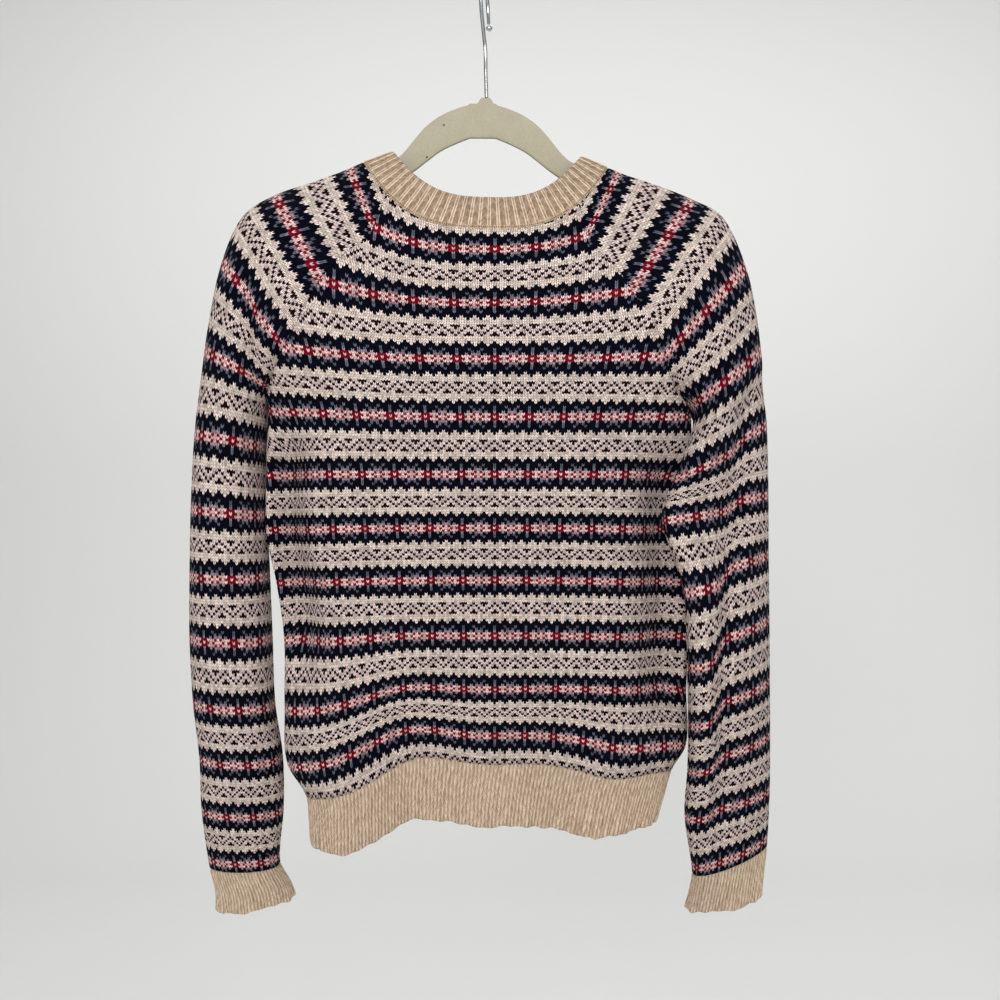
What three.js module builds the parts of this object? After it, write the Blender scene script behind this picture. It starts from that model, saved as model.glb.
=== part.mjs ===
// Fair isle raglan jumper on a slim clothes hanger.
// Millimetres, +Z up. The origin is the inner top of the hook. The jumper's back faces -Y.
import * as THREE from "three";

// Cloth walls and seams
const knitWall = 2;
const ribWall = 2.4;
const seamGap = 0.3;

// Cells across each panel
const backColumns = 22;
const frontColumns = 18;
const sleeveColumns = 20;

// Knit rows are counted from the first red band. One pattern repeat is 24 rows.
const neckRows = [0, 1, 2];
const raglanRows = [4, 14, 24, 34, 43, 51, 57, 62, 65.5, 68];
const underarmRow = 68;
const bodyRows = [72, 82, 94, 106, 118, 130, 142, 154, 166, 178, 190, 202, 212, 220, 228];
const hemRows = [228, 236, 244, 252];
const cuffRows = [268, 274, 279, 284];
const backFanRow = 4;
const frontFanRow = 34;

// Body, a row for each band. Side places hold for the rows below the underarm.
const body = [
  { row: 0, middleZ: -245.3, backY: -38, frontY: 37, leftX: -190, leftZ: -229, rightX: 187, rightZ: -234 },
  { row: 24, middleZ: -292.7, backY: -46, frontY: 39, leftX: -190, leftZ: -272, rightX: 187, rightZ: -282 },
  { row: 48, middleZ: -341.5, backY: -52, frontY: 41, leftX: -191, leftZ: -332, rightX: 186, rightZ: -338 },
  { row: 68, middleZ: -383, backY: -56, frontY: 42, leftX: -191.5, leftZ: -374, rightX: 184, rightZ: -380 },
  { row: 96, middleZ: -440, backY: -58, frontY: 42, leftX: -194, leftZ: -440, rightX: 186, rightZ: -440 },
  { row: 120, middleZ: -485.5, backY: -58, frontY: 42, leftX: -194.5, leftZ: -489, rightX: 184, rightZ: -489 },
  { row: 144, middleZ: -529.7, backY: -57, frontY: 42, leftX: -185, leftZ: -536, rightX: 182, rightZ: -536 },
  { row: 168, middleZ: -577, backY: -56, frontY: 42, leftX: -178, leftZ: -586, rightX: 182, rightZ: -584 },
  { row: 192, middleZ: -621.4, backY: -57, frontY: 42, leftX: -177, leftZ: -645, rightX: 180, rightZ: -632 },
  { row: 216, middleZ: -657.4, backY: -60, frontY: 44, leftX: -174.5, leftZ: -692, rightX: 179.5, rightZ: -679 },
  { row: 228, middleZ: -684, backY: -48, frontY: 37, leftX: -158.5, leftZ: -720, rightX: 167, rightZ: -702 },
  { row: 240, middleZ: -711, backY: -44, frontY: 34, leftX: -155.5, leftZ: -744, rightX: 160, rightZ: -726 },
  { row: 252, middleZ: -739.5, backY: -42, frontY: 33, leftX: -154, leftZ: -762, rightX: 153, rightZ: -750 },
];
const leftSideY = -6;
const rightSideY = 2;
const rowBow = 2.4;
const neckFlatness = 1.3;
const bodyFullness = 0.77;

// Folds that run down the body, growing from one knit row to another and fading at the side seams
const foldFade = 6;
const laterRows = 30;
const backFolds = [
  { place: -0.76, width: 0.28, drop: -10, push: -7, fromRow: 150, fullRow: 216, growth: 0.5 },
  { place: -0.4, width: 0.2, drop: 6, push: 6, fromRow: 150, fullRow: 228, growth: 0 },
  { place: 0.02, width: 0.24, drop: -3, push: -5, fromRow: 170, fullRow: 228, growth: 0 },
  { place: 0.33, width: 0.15, drop: -3, push: 5, fromRow: 190, fullRow: 228, growth: 0.3 },
  { place: 0.64, width: 0.22, drop: -11, push: -6, fromRow: 190, fullRow: 228, growth: 0 },
];
const frontFolds = [
  { place: -0.5, width: 0.3, drop: -6, push: 6, fromRow: 150, fullRow: 228, growth: 0 },
  { place: 0.05, width: 0.24, drop: 5, push: -6, fromRow: 150, fullRow: 228, growth: 0 },
  { place: 0.55, width: 0.28, drop: -6, push: 6, fromRow: 160, fullRow: 228, growth: 0 },
];

// Sleeves, a row for each band. Out is the outer edge, in is the raglan seam or the inner edge.
// Wrap is how far the ring closes, crease is a valley along the back of the sleeve.
const leftSleeve = [
  { row: 0, outX: -119.5, outZ: -165.4, outY: 0, inX: -91.8, inZ: -228.6, inY: -3, back: 30, front: 38 },
  { row: 12, outX: -152, outZ: -177.8, outY: 0, inX: -117.2, inZ: -245.3, inY: -3, back: 35, front: 39 },
  { row: 24, outX: -187, outZ: -190, outY: 0, inX: -141.7, inZ: -272.1, inY: -3, back: 41, front: 41 },
  { row: 36, outX: -215.3, outZ: -209.6, outY: 0, inX: -157.7, inZ: -303.5, inY: -4, back: 47, front: 43 },
  { row: 48, outX: -232.3, outZ: -249.8, outY: 0, inX: -172.7, inZ: -329.9, inY: -5, back: 52, front: 45 },
  { row: 64, outX: -242.5, outZ: -303, outY: -1, inX: -185.1, inZ: -353, inY: -6, back: 56, front: 47 },
  { row: 80, outX: -249, outZ: -357, outY: -2, inX: -193.8, inZ: -374, inY: -6, back: 58, front: 48 },
  { row: 96, outX: -254.5, outZ: -404.2, outY: -2, inX: -198.6, inZ: -414.4, inY: -6, back: 58, front: 48 },
  { row: 120, outX: -258.5, outZ: -469, outY: -2, inX: -197.6, inZ: -475.2, inY: -6, back: 55, front: 46 },
  { row: 144, outX: -260, outZ: -528.4, outY: -3, inX: -195, inZ: -530, inY: -6, back: 51, front: 43 },
  { row: 168, outX: -260.5, outZ: -582.4, outY: -4, inX: -192.4, inZ: -585.3, inY: -6, back: 46, front: 39 },
  { row: 192, outX: -258, outZ: -640, outY: -4, inX: -189.7, inZ: -644.3, inY: -6, back: 41, front: 34 },
  { row: 216, outX: -252.7, outZ: -689.5, outY: -5, inX: -182.5, inZ: -691.7, inY: -6, back: 36, front: 29 },
  { row: 240, outX: -251.2, outZ: -736.3, outY: -5, inX: -181.6, inZ: -738.2, inY: -6, back: 30, front: 24 },
  { row: 268, outX: -244.5, outZ: -786.7, outY: -5, inX: -184.6, inZ: -786.7, inY: -6, back: 25, front: 20 },
  { row: 276, outX: -239.6, outZ: -808.3, outY: -5, inX: -175.6, inZ: -803.8, inY: -6, back: 23, front: 18 },
  { row: 284, outX: -238.4, outZ: -828, outY: -5, inX: -172, inZ: -816.4, inY: -6, back: 22, front: 17 },
];
const leftShape = [
  { row: 0, wrap: 0.5, creaseAt: 0.5, crease: 0, step: 0, lean: 0 },
  { row: 24, wrap: 0.55, creaseAt: 0.5, crease: 0, step: 0, lean: 0 },
  { row: 36, wrap: 0.64, creaseAt: 0.5, crease: 3, step: 0, lean: 0 },
  { row: 48, wrap: 0.77, creaseAt: 0.56, crease: 9, step: 0.1, lean: 0 },
  { row: 64, wrap: 0.9, creaseAt: 0.78, crease: 8, step: 0.1, lean: 0 },
  { row: 80, wrap: 1, creaseAt: 0.85, crease: 0, step: 0, lean: 0 },
  { row: 284, wrap: 1, creaseAt: 0.85, crease: 0, step: 0, lean: 0 },
];
const rightSleeve = [
  { row: 0, outX: 116, outZ: -168.5, outY: 0, inX: 81.4, inZ: -233.8, inY: -3, back: 30, front: 38 },
  { row: 12, outX: 150, outZ: -179.8, outY: 0, inX: 109.6, inZ: -254.9, inY: -3, back: 35, front: 39 },
  { row: 24, outX: 184.8, outZ: -193.7, outY: 0, inX: 127.3, inZ: -281.6, inY: -3, back: 41, front: 41 },
  { row: 36, outX: 212.6, outZ: -211.4, outY: 0, inX: 146, inZ: -308.6, inY: -4, back: 47, front: 43 },
  { row: 48, outX: 231.3, outZ: -254.3, outY: 0, inX: 155.8, inZ: -337.6, inY: -4, back: 52, front: 45 },
  { row: 62, outX: 240, outZ: -297, outY: 0, inX: 166, inZ: -362, inY: -2, back: 56, front: 45 },
  { row: 74, outX: 244.5, outZ: -336, outY: 1, inX: 184.5, inZ: -382.6, inY: 2, back: 58, front: 45 },
  { row: 76.5, outX: 245.2, outZ: -342, outY: 1, inX: 186.6, inZ: -389, inY: -8, back: 53, front: 45 },
  { row: 80, outX: 246.2, outZ: -351, outY: 2, inX: 183.5, inZ: -399, inY: -24, back: 44, front: 45 },
  { row: 84, outX: 247.5, outZ: -361, outY: 3, inX: 178.5, inZ: -410, inY: -33, back: 38, front: 45 },
  { row: 90, outX: 250.2, outZ: -378, outY: 4, inX: 171.5, inZ: -427, inY: -41, back: 35, front: 44 },
  { row: 96, outX: 252.5, outZ: -394.3, outY: 5, inX: 163, inZ: -445, inY: -47, back: 33, front: 42 },
  { row: 120, outX: 254.2, outZ: -457.3, outY: 5, inX: 152.5, inZ: -479, inY: -52, back: 31, front: 40 },
  { row: 144, outX: 253.7, outZ: -509.5, outY: 4, inX: 172, inZ: -540.5, inY: -45, back: 34, front: 38 },
  { row: 168, outX: 253.7, outZ: -566.2, outY: 2, inX: 177.5, inZ: -607.3, inY: -32, back: 36, front: 36 },
  { row: 192, outX: 253.7, outZ: -621.1, outY: 0, inX: 179, inZ: -657.6, inY: -30, back: 34, front: 32 },
  { row: 216, outX: 254.2, outZ: -669.7, outY: 0, inX: 179, inZ: -698.2, inY: -27, back: 31, front: 28 },
  { row: 240, outX: 253.7, outZ: -718.3, outY: -2, inX: 178, inZ: -741.4, inY: -18, back: 28, front: 24 },
  { row: 268, outX: 251, outZ: -767.8, outY: -4, inX: 185.6, inZ: -793, inY: -12, back: 24, front: 20 },
  { row: 276, outX: 248.3, outZ: -791.2, outY: -5, inX: 183.7, inZ: -810, inY: -10, back: 22, front: 18 },
  { row: 284, outX: 245.6, outZ: -815.5, outY: -5, inX: 181, inZ: -826.3, inY: -8, back: 21, front: 17 },
];
const rightShape = [
  { row: 0, wrap: 0.5, creaseAt: 0.3, crease: 0, step: 0, lean: 0 },
  { row: 24, wrap: 0.55, creaseAt: 0.3, crease: 0, step: 0, lean: 0 },
  { row: 48, wrap: 0.77, creaseAt: 0.3, crease: 0, step: 0, lean: 0 },
  { row: 62, wrap: 0.9, creaseAt: 0.28, crease: 4, step: 0.05, lean: 0 },
  { row: 74, wrap: 1, creaseAt: 0.27, crease: 6, step: 0.05, lean: 0.3 },
  { row: 80, wrap: 1, creaseAt: 0.3, crease: 7, step: 0.08, lean: 0.8 },
  { row: 96, wrap: 1, creaseAt: 0.37, crease: 9, step: 0.15, lean: 0.9 },
  { row: 120, wrap: 1, creaseAt: 0.38, crease: 11, step: 0.35, lean: 0.95 },
  { row: 144, wrap: 1, creaseAt: 0.58, crease: 11, step: 0.4, lean: 0.8 },
  { row: 168, wrap: 1, creaseAt: 0.7, crease: 9, step: 0.45, lean: 0.5 },
  { row: 192, wrap: 1, creaseAt: 0.72, crease: 8, step: 0.4, lean: 0.3 },
  { row: 240, wrap: 1, creaseAt: 0.72, crease: 6, step: 0.25, lean: 0 },
  { row: 268, wrap: 1, creaseAt: 0.8, crease: 0, step: 0, lean: 0 },
  { row: 284, wrap: 1, creaseAt: 0.8, crease: 0, step: 0, lean: 0 },
];
const leftUnderarmSleeveRow = 80;
const rightUnderarmSleeveRow = 74;
const matchedRow = 48;
const leftRowsBelow = [
  84, 90, 97, 105, 114, 126, 138, 150, 162, 174, 186, 198, 210, 222, 234, 246, 258, 268,
];
const rightRowsBelow = [76.5, 80, ...leftRowsBelow];
const sleeveFullness = 0.8;
const creaseWidth = 0.16;
const stepSteepness = 0.7;

// Neck seam and the neckband's top edge, both loops round the neck
const neckSeam = {
  leftX: -109, leftZ: -159.5, rightX: 110.5, rightZ: -164.5, backY: -35, frontY: 37,
  backDrop: 64, frontDrop: 94, bend: 3.1,
};
const neckTop = {
  leftX: -82, leftZ: -149.6, rightX: 86, rightZ: -154, backY: -32, frontY: 35,
  backDrop: 46, frontDrop: 76, bend: 2.9,
};
const loopSquareness = 3;
const loopRoundness = 2.2;
const leftNeckCorner = -0.79;
const rightNeckCorner = 0.75;
const neckbandRows = 4;

// Hanger arms: distance from the middle, top and bottom
const armMiddleX = -2;
const armSlope = -0.01;
const armHalfThickness = 2.5;
const armBevel = 1.3;
const arms = [
  { out: 12, top: -106.5, bottom: -136.8 },
  { out: 24, top: -110.3, bottom: -141.6 },
  { out: 38, top: -116.7, bottom: -148.6 },
  { out: 50, top: -125.5, bottom: -157.5 },
  { out: 60, top: -136.5, bottom: -165.4 },
  { out: 70, top: -149, bottom: -172 },
  { out: 80, top: -157.5, bottom: -177.5 },
  { out: 95, top: -161.5, bottom: -181 },
  { out: 107, top: -164.5, bottom: -183.5 },
  { out: 122, top: -170, bottom: -189 },
  { out: 137, top: -177.5, bottom: -196.5 },
  { out: 152, top: -182.8, bottom: -202.5 },
  { out: 167, top: -189, bottom: -209 },
  { out: 184, top: -195.8, bottom: -215.5 },
  { out: 199, top: -203.8, bottom: -222.5 },
  { out: 208, top: -211, bottom: -226 },
  { out: 213, top: -217, bottom: -224 },
];
const boss = [
  { x: -7.4, top: -105.4, bottom: -136.2 },
  { x: -4, top: -100, bottom: -136 },
  { x: 5, top: -100, bottom: -136 },
  { x: 8.4, top: -105.4, bottom: -136.2 },
];

// Hook wire along its middle line, with a ball at the free end
const wireRadius = 1.75;
const ballRadius = 3;
const wireSides = 10;
const wireSteps = 44;
const ballSteps = 8;
const ballTipAngle = 0.2;
const hookPath = [
  { x: 1.35, y: 0, z: -99.7 },
  { x: 0.7, y: 0, z: -76 },
  { x: 0.4, y: -0.5, z: -58 },
  { x: -0.9, y: -4.5, z: -46 },
  { x: -3.15, y: -14, z: -25.3 },
  { x: -3.6, y: -17.5, z: -12 },
  { x: -2.6, y: -12.5, z: -2.6 },
  { x: 0, y: 0, z: 1.75 },
  { x: 1.6, y: 12.5, z: -3.4 },
  { x: 2.6, y: 17.6, z: -14 },
  { x: 3.6, y: 17, z: -29.8 },
];

// Colours and surfaces
const clothRoughness = 0.9;
const flockRoughness = 0.8;
const wireRoughness = 0.25;
const knitColour = 0x6b5a60;
const ribColour = 0xc9af8d;
const neckColour = 0xc9aa8e;
const hangerColour = 0xb5af99;
const wireColour = 0xb9bcc0;

function mix(from, to, share) {
  return from + (to - from) * share;
}

function ease(value) {
  const clear = Math.min(1, Math.max(0, value));
  return clear * clear * (3 - 2 * clear);
}

// A column's value at a knit row: a cubic through the table, with each slope from its neighbours
function valueAt(table, column, row) {
  let index = 0;
  while (index < table.length - 2 && row > table[index + 1].row) index += 1;
  const low = table[index];
  const high = table[index + 1];
  const before = table[Math.max(0, index - 1)];
  const after = table[Math.min(table.length - 1, index + 2)];
  const span = high.row - low.row;
  const lowSlope = ((high[column] - before[column]) / (high.row - before.row)) * span;
  const highSlope = ((after[column] - low[column]) / (after.row - low.row)) * span;
  const share = Math.min(1, Math.max(0, (row - low.row) / span));
  const square = share * share;
  const cube = square * share;
  return (2 * cube - 3 * square + 1) * low[column] + (cube - 2 * square + share) * lowSlope
    + (3 * square - 2 * cube) * high[column] + (cube - square) * highSlope;
}

// A point of a neck loop: across runs from -1 at the left ridge to 1 at the right one
function neckPoint(loop, isBack, across) {
  const far = Math.min(1, Math.abs(across));
  const share = (across + 1) / 2;
  const depth = Math.pow(Math.max(0, 1 - Math.pow(far, loopSquareness)), 1 / loopRoundness);
  const drop = (isBack ? loop.backDrop : loop.frontDrop) * (1 - Math.pow(far, loop.bend));
  return new THREE.Vector3(
    mix(loop.leftX, loop.rightX, share),
    (isBack ? loop.backY : loop.frontY) * depth,
    mix(loop.leftZ, loop.rightZ, share) - drop,
  );
}

// A point of a sleeve ring: turn is 0 at the back seam, 0.5 at the outer edge, 1 at the front seam
function sleevePoint(bands, shape, row, turn) {
  const reach = Math.abs(1 - 2 * turn);
  const wrap = valueAt(shape, "wrap", row);
  const angle = Math.PI * wrap * reach;
  const across = (1 - Math.cos(angle)) / (1 - Math.cos(Math.PI * wrap));
  const swell = Math.pow(Math.max(0, Math.sin(angle)), sleeveFullness);
  const creaseAt = valueAt(shape, "creaseAt", row);
  const fromCrease = (across - creaseAt) / creaseWidth;
  const isBack = turn < 0.5;
  const stepShare = isBack ? valueAt(shape, "step", row) : 0;
  const stepped = mix(across, ease(0.5 + stepSteepness * fromCrease), stepShare);
  const valley = Math.exp(-fromCrease * fromCrease) * Math.sin(Math.PI * across);
  const lean = 1 - valueAt(shape, "lean", row) * across;
  const edgeY = mix(valueAt(bands, "outY", row), valueAt(bands, "inY", row), across);
  const y = isBack
    ? edgeY - valueAt(bands, "back", row) * swell + valueAt(shape, "crease", row) * valley
    : edgeY + valueAt(bands, "front", row) * swell * lean;
  return new THREE.Vector3(
    mix(valueAt(bands, "outX", row), valueAt(bands, "inX", row), across),
    y,
    mix(valueAt(bands, "outZ", row), valueAt(bands, "inZ", row), stepped),
  );
}

// The sleeve's own knit row where a body row meets it on the raglan seam
function sleeveRowAt(underarmSleeveRow, row) {
  const beyond = Math.max(0, row - matchedRow) / (underarmRow - matchedRow);
  return Math.min(row, matchedRow) + beyond * (underarmSleeveRow - matchedRow);
}

// The two ends of a body row, on the raglan seams or at the sides
function rowEnds(isBack, row) {
  if (row <= underarmRow) {
    const turn = isBack ? 0 : 1;
    return [
      sleevePoint(leftSleeve, leftShape, sleeveRowAt(leftUnderarmSleeveRow, row), turn),
      sleevePoint(rightSleeve, rightShape, sleeveRowAt(rightUnderarmSleeveRow, row), turn),
    ];
  }
  return [
    new THREE.Vector3(valueAt(body, "leftX", row), leftSideY, valueAt(body, "leftZ", row)),
    new THREE.Vector3(valueAt(body, "rightX", row), rightSideY, valueAt(body, "rightZ", row)),
  ];
}

// A point of the body: across runs from -1 at the left end of the row to 1 at the right end
function bodyPoint(isBack, row, across) {
  const [left, right] = rowEnds(isBack, row);
  const roundness = ease(row / underarmRow);
  const far = Math.abs(across);
  const power = mix(neckFlatness, bodyFullness, roundness);
  const swung = Math.sign(across) * Math.pow(Math.sin((Math.PI / 2) * far), bodyFullness);
  const spread = mix(across, swung, roundness);
  const arch = far >= 1 ? 0 : Math.pow(Math.cos((Math.PI / 2) * across), power);
  const middleZ = valueAt(body, "middleZ", row);
  const endZ = across < 0 ? left.z : right.z;
  const share = (spread + 1) / 2;
  const middleY = valueAt(body, isBack ? "backY" : "frontY", row);
  let y = mix(left.y, right.y, share) + (middleY - (left.y + right.y) / 2) * arch;
  let z = middleZ + (endZ - middleZ) * Math.pow(Math.abs(spread), rowBow);
  for (const fold of isBack ? backFolds : frontFolds) {
    const place = (spread - fold.place) / fold.width;
    const grown = ease((row - fold.fromRow) / (fold.fullRow - fold.fromRow));
    const later = 1 + fold.growth * ease((row - fold.fullRow) / laterRows);
    const lobe = Math.exp(-place * place) * grown * later * (1 - Math.pow(far, foldFade));
    y += fold.push * lobe;
    z += fold.drop * lobe;
  }
  return new THREE.Vector3(mix(left.x, right.x, share), y, z);
}

// A panel's rows near the neck: from the neck seam to a fan row, kept on the raglan seams at both ends
function fannedPoint(isBack, index, across) {
  const fanRow = isBack ? backFanRow : frontFanRow;
  const rows = [...neckRows, ...raglanRows];
  const first = neckRows.length;
  const fanIndex = rows.indexOf(fanRow);
  if (index >= fanIndex) return bodyPoint(isBack, rows[index], across);
  const place = mix(leftNeckCorner, rightNeckCorner, (across + 1) / 2);
  const share = index / fanIndex;
  const point = neckPoint(neckSeam, isBack, place).lerp(bodyPoint(isBack, fanRow, across), share);
  for (const end of [-1, 1]) {
    const corner = neckPoint(neckSeam, isBack, end < 0 ? leftNeckCorner : rightNeckCorner);
    const seam = index < first
      ? corner.clone().lerp(bodyPoint(isBack, rows[first], end), index / first)
      : bodyPoint(isBack, rows[index], end);
    const plain = corner.clone().lerp(bodyPoint(isBack, fanRow, end), share);
    const weight = Math.pow(Math.max(0, across * end), 3);
    point.addScaledVector(seam.sub(plain), weight);
  }
  return point;
}

// Places across a panel, from -1 to 1
function placesAcross(columns) {
  return Array.from({ length: columns + 1 }, (unused, column) => (2 * column) / columns - 1);
}

function panelGrid(isBack, columns) {
  const places = placesAcross(columns);
  const fanned = [...neckRows, ...raglanRows].map((row, index) => (
    places.map((across) => fannedPoint(isBack, index, across))
  ));
  const plain = bodyRows.map((row) => places.map((across) => bodyPoint(isBack, row, across)));
  return [...fanned, ...plain];
}

function hemGrid(isBack, columns) {
  const places = placesAcross(columns);
  return hemRows.map((row) => places.map((across) => bodyPoint(isBack, row, across)));
}

function ringPoint(isLeft, row, turn) {
  const bands = isLeft ? leftSleeve : rightSleeve;
  const shape = isLeft ? leftShape : rightShape;
  return sleevePoint(bands, shape, row, turn);
}

// The neck seam over the sleeve's top, from the back corner over the ridge to the front corner
function sleeveNeckPoint(isLeft, turn) {
  const reach = Math.abs(1 - 2 * turn);
  const corner = isLeft ? leftNeckCorner : rightNeckCorner;
  const across = Math.sign(corner) * (1 - (1 - Math.abs(corner)) * reach * reach);
  return neckPoint(neckSeam, turn < 0.5, across);
}

function sleeveGrid(isLeft) {
  const lastRow = isLeft ? leftUnderarmSleeveRow : rightUnderarmSleeveRow;
  const above = raglanRows.map((row) => sleeveRowAt(lastRow, row));
  const rows = [...above, ...(isLeft ? leftRowsBelow : rightRowsBelow)];
  const grid = [];
  for (let index = 0; index < neckRows.length + rows.length; index += 1) {
    const line = [];
    for (let column = 0; column <= sleeveColumns; column += 1) {
      const turn = column / sleeveColumns;
      const point = index < neckRows.length
        ? sleeveNeckPoint(isLeft, turn).lerp(ringPoint(isLeft, rows[0], turn), index / neckRows.length)
        : ringPoint(isLeft, rows[index - neckRows.length], turn);
      line.push(point);
    }
    grid.push(line);
  }
  return grid;
}

function cuffGrid(isLeft) {
  const turns = Array.from({ length: sleeveColumns }, (unused, column) => column / sleeveColumns);
  return cuffRows.map((row) => turns.map((turn) => ringPoint(isLeft, row, turn)));
}

// The neckband's nodes are those of the panels' top edges, all the way round
function neckbandGrid() {
  const nodes = [];
  for (let column = 0; column < backColumns; column += 1) {
    nodes.push([true, mix(leftNeckCorner, rightNeckCorner, column / backColumns)]);
  }
  for (let column = 0; column < sleeveColumns; column += 1) {
    const turn = column / sleeveColumns;
    const reach = Math.abs(1 - 2 * turn);
    nodes.push([turn < 0.5, 1 - (1 - rightNeckCorner) * reach * reach]);
  }
  for (let column = frontColumns; column > 0; column -= 1) {
    nodes.push([false, mix(leftNeckCorner, rightNeckCorner, column / frontColumns)]);
  }
  for (let column = sleeveColumns; column > 0; column -= 1) {
    const turn = column / sleeveColumns;
    const reach = Math.abs(1 - 2 * turn);
    nodes.push([turn < 0.5, (1 + leftNeckCorner) * reach * reach - 1]);
  }
  const grid = [];
  for (let level = 0; level < neckbandRows; level += 1) {
    const share = level / (neckbandRows - 1);
    grid.push(nodes.map(([isBack, across]) => (
      neckPoint(neckTop, isBack, across).lerp(neckPoint(neckSeam, isBack, across), share)
    )));
  }
  return grid;
}

// Each surface's own normals: the cross product of its two directions at every node
function ownNormals(grid, isRing, facing) {
  const rows = grid.length;
  const columns = grid[0].length;
  return grid.map((line, row) => line.map((point, column) => {
    const leftward = isRing ? (column + columns - 1) % columns : Math.max(0, column - 1);
    const rightward = isRing ? (column + 1) % columns : Math.min(columns - 1, column + 1);
    const above = grid[Math.max(0, row - 1)][column];
    const below = grid[Math.min(rows - 1, row + 1)][column];
    const across = line[rightward].clone().sub(line[leftward]);
    const down = below.clone().sub(above);
    return across.cross(down).normalize().multiplyScalar(facing);
  }));
}

// Nodes of different pieces that meet on a seam share one normal, so their walls don't cross
const keysPerMillimetre = 50;
function keyOf(point) {
  return point.toArray().map((value) => Math.round(value * keysPerMillimetre)).join(" ");
}

function shareNormals(pieces) {
  const pool = new Map();
  for (const piece of pieces) {
    piece.grid.forEach((line, row) => line.forEach((point, column) => {
      const key = keyOf(point);
      const sum = pool.get(key) ?? new THREE.Vector3();
      pool.set(key, sum.add(piece.normals[row][column]));
    }));
  }
  const sharedNormal = (point) => pool.get(keyOf(point)).clone().normalize();
  for (const piece of pieces) piece.normals = piece.grid.map((line) => line.map(sharedNormal));
}

// Four edges meet at an underarm. There the torso and the sleeve hang side by side, so each wall
// stands square to X, and steps back along X and Y.
function setUnderarms(pieces) {
  const underarms = new Set();
  underarms.add(keyOf(ringPoint(true, leftUnderarmSleeveRow, 0)));
  underarms.add(keyOf(ringPoint(false, rightUnderarmSleeveRow, 0)));
  for (const piece of pieces) {
    piece.underarmSteps = new Map();
    piece.grid.forEach((line, row) => line.forEach((point, column) => {
      if (!underarms.has(keyOf(point))) return;
      const inner = line[column === 0 ? 1 : column - 1].clone().sub(point);
      const back = Math.sign(inner.x);
      piece.normals[row][column].set(-back, 0, 0);
      const step = new THREE.Vector3((back * (piece.wall + seamGap)) / 2, (Math.sign(inner.y) * seamGap) / 2, 0);
      piece.underarmSteps.set(keyOf(point), step);
    }));
  }
}

// The two border segments at an edge node, each with the step that leads inwards from it
function borderSegments(grid, isRing, row, column) {
  const rows = grid.length;
  const columns = grid[0].length;
  const found = [];
  for (const step of [-1, 1]) {
    if (row === 0 || row === rows - 1) {
      const next = isRing ? (column + step + columns) % columns : column + step;
      found.push({ row, column: next, inRow: row === 0 ? 1 : -1, inColumn: 0 });
    }
    if (!isRing && (column === 0 || column === columns - 1)) {
      found.push({ row: row + step, column, inRow: 0, inColumn: column === 0 ? 1 : -1 });
    }
  }
  return found.filter((segment) => grid[segment.row]?.[segment.column] !== undefined);
}

// Edges step back from the seams by half the gap, square to the seam and to the shared normal
const leastSharpness = 0.4;
function pulledBack(piece) {
  const { grid, isRing, normals } = piece;
  return grid.map((line, row) => line.map((point, column) => {
    const inwards = borderSegments(grid, isRing, row, column).map((segment) => {
      const other = grid[segment.row][segment.column];
      const along = other.clone().sub(point).normalize();
      const innerPoint = grid[row + segment.inRow][column + segment.inColumn];
      const innerOther = grid[segment.row + segment.inRow][segment.column + segment.inColumn];
      const inward = innerPoint.clone().add(innerOther).sub(point).sub(other);
      inward.addScaledVector(along, -inward.dot(along));
      inward.addScaledVector(normals[row][column], -inward.dot(normals[row][column]));
      return inward.normalize();
    });
    if (inwards.length === 0) return point.clone();
    const underarmStep = piece.underarmSteps.get(keyOf(point));
    if (underarmStep !== undefined) return point.clone().add(underarmStep);
    const sharpness = Math.max(leastSharpness, 1 + inwards[0].dot(inwards[1]));
    return point.clone().addScaledVector(inwards[0].add(inwards[1]), seamGap / 2 / sharpness);
  }));
}

// A closed wall: an outer and an inner skin, and a rim round every open edge
function wallGeometry(piece) {
  const grid = pulledBack(piece);
  const rows = grid.length;
  const columns = grid[0].length;
  const positions = [];
  for (const offset of [piece.wall / 2, -piece.wall / 2]) {
    grid.forEach((line, row) => line.forEach((point, column) => {
      positions.push(...point.clone().addScaledVector(piece.normals[row][column], offset).toArray());
    }));
  }
  const skin = rows * columns;
  const node = (layer, row, column) => layer * skin + row * columns + (column % columns);
  const faces = [];
  const quad = (a, b, c, d) => faces.push(a, b, c, a, c, d);
  const cells = piece.isRing ? columns : columns - 1;
  for (let row = 0; row < rows - 1; row += 1) {
    for (let column = 0; column < cells; column += 1) {
      const below = row + 1;
      const beside = column + 1;
      quad(node(0, row, column), node(0, below, column), node(0, below, beside), node(0, row, beside));
      quad(node(1, row, column), node(1, row, beside), node(1, below, beside), node(1, below, column));
    }
  }
  for (let column = 0; column < cells; column += 1) {
    const last = rows - 1;
    const beside = column + 1;
    quad(node(0, 0, column), node(0, 0, beside), node(1, 0, beside), node(1, 0, column));
    quad(node(0, last, column), node(1, last, column), node(1, last, beside), node(0, last, beside));
  }
  if (!piece.isRing) {
    const last = columns - 1;
    for (let row = 0; row < rows - 1; row += 1) {
      quad(node(0, row, 0), node(1, row, 0), node(1, row + 1, 0), node(0, row + 1, 0));
      quad(node(0, row, last), node(0, row + 1, last), node(1, row + 1, last), node(1, row, last));
    }
  }
  return closedGeometry(positions, faces);
}

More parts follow.
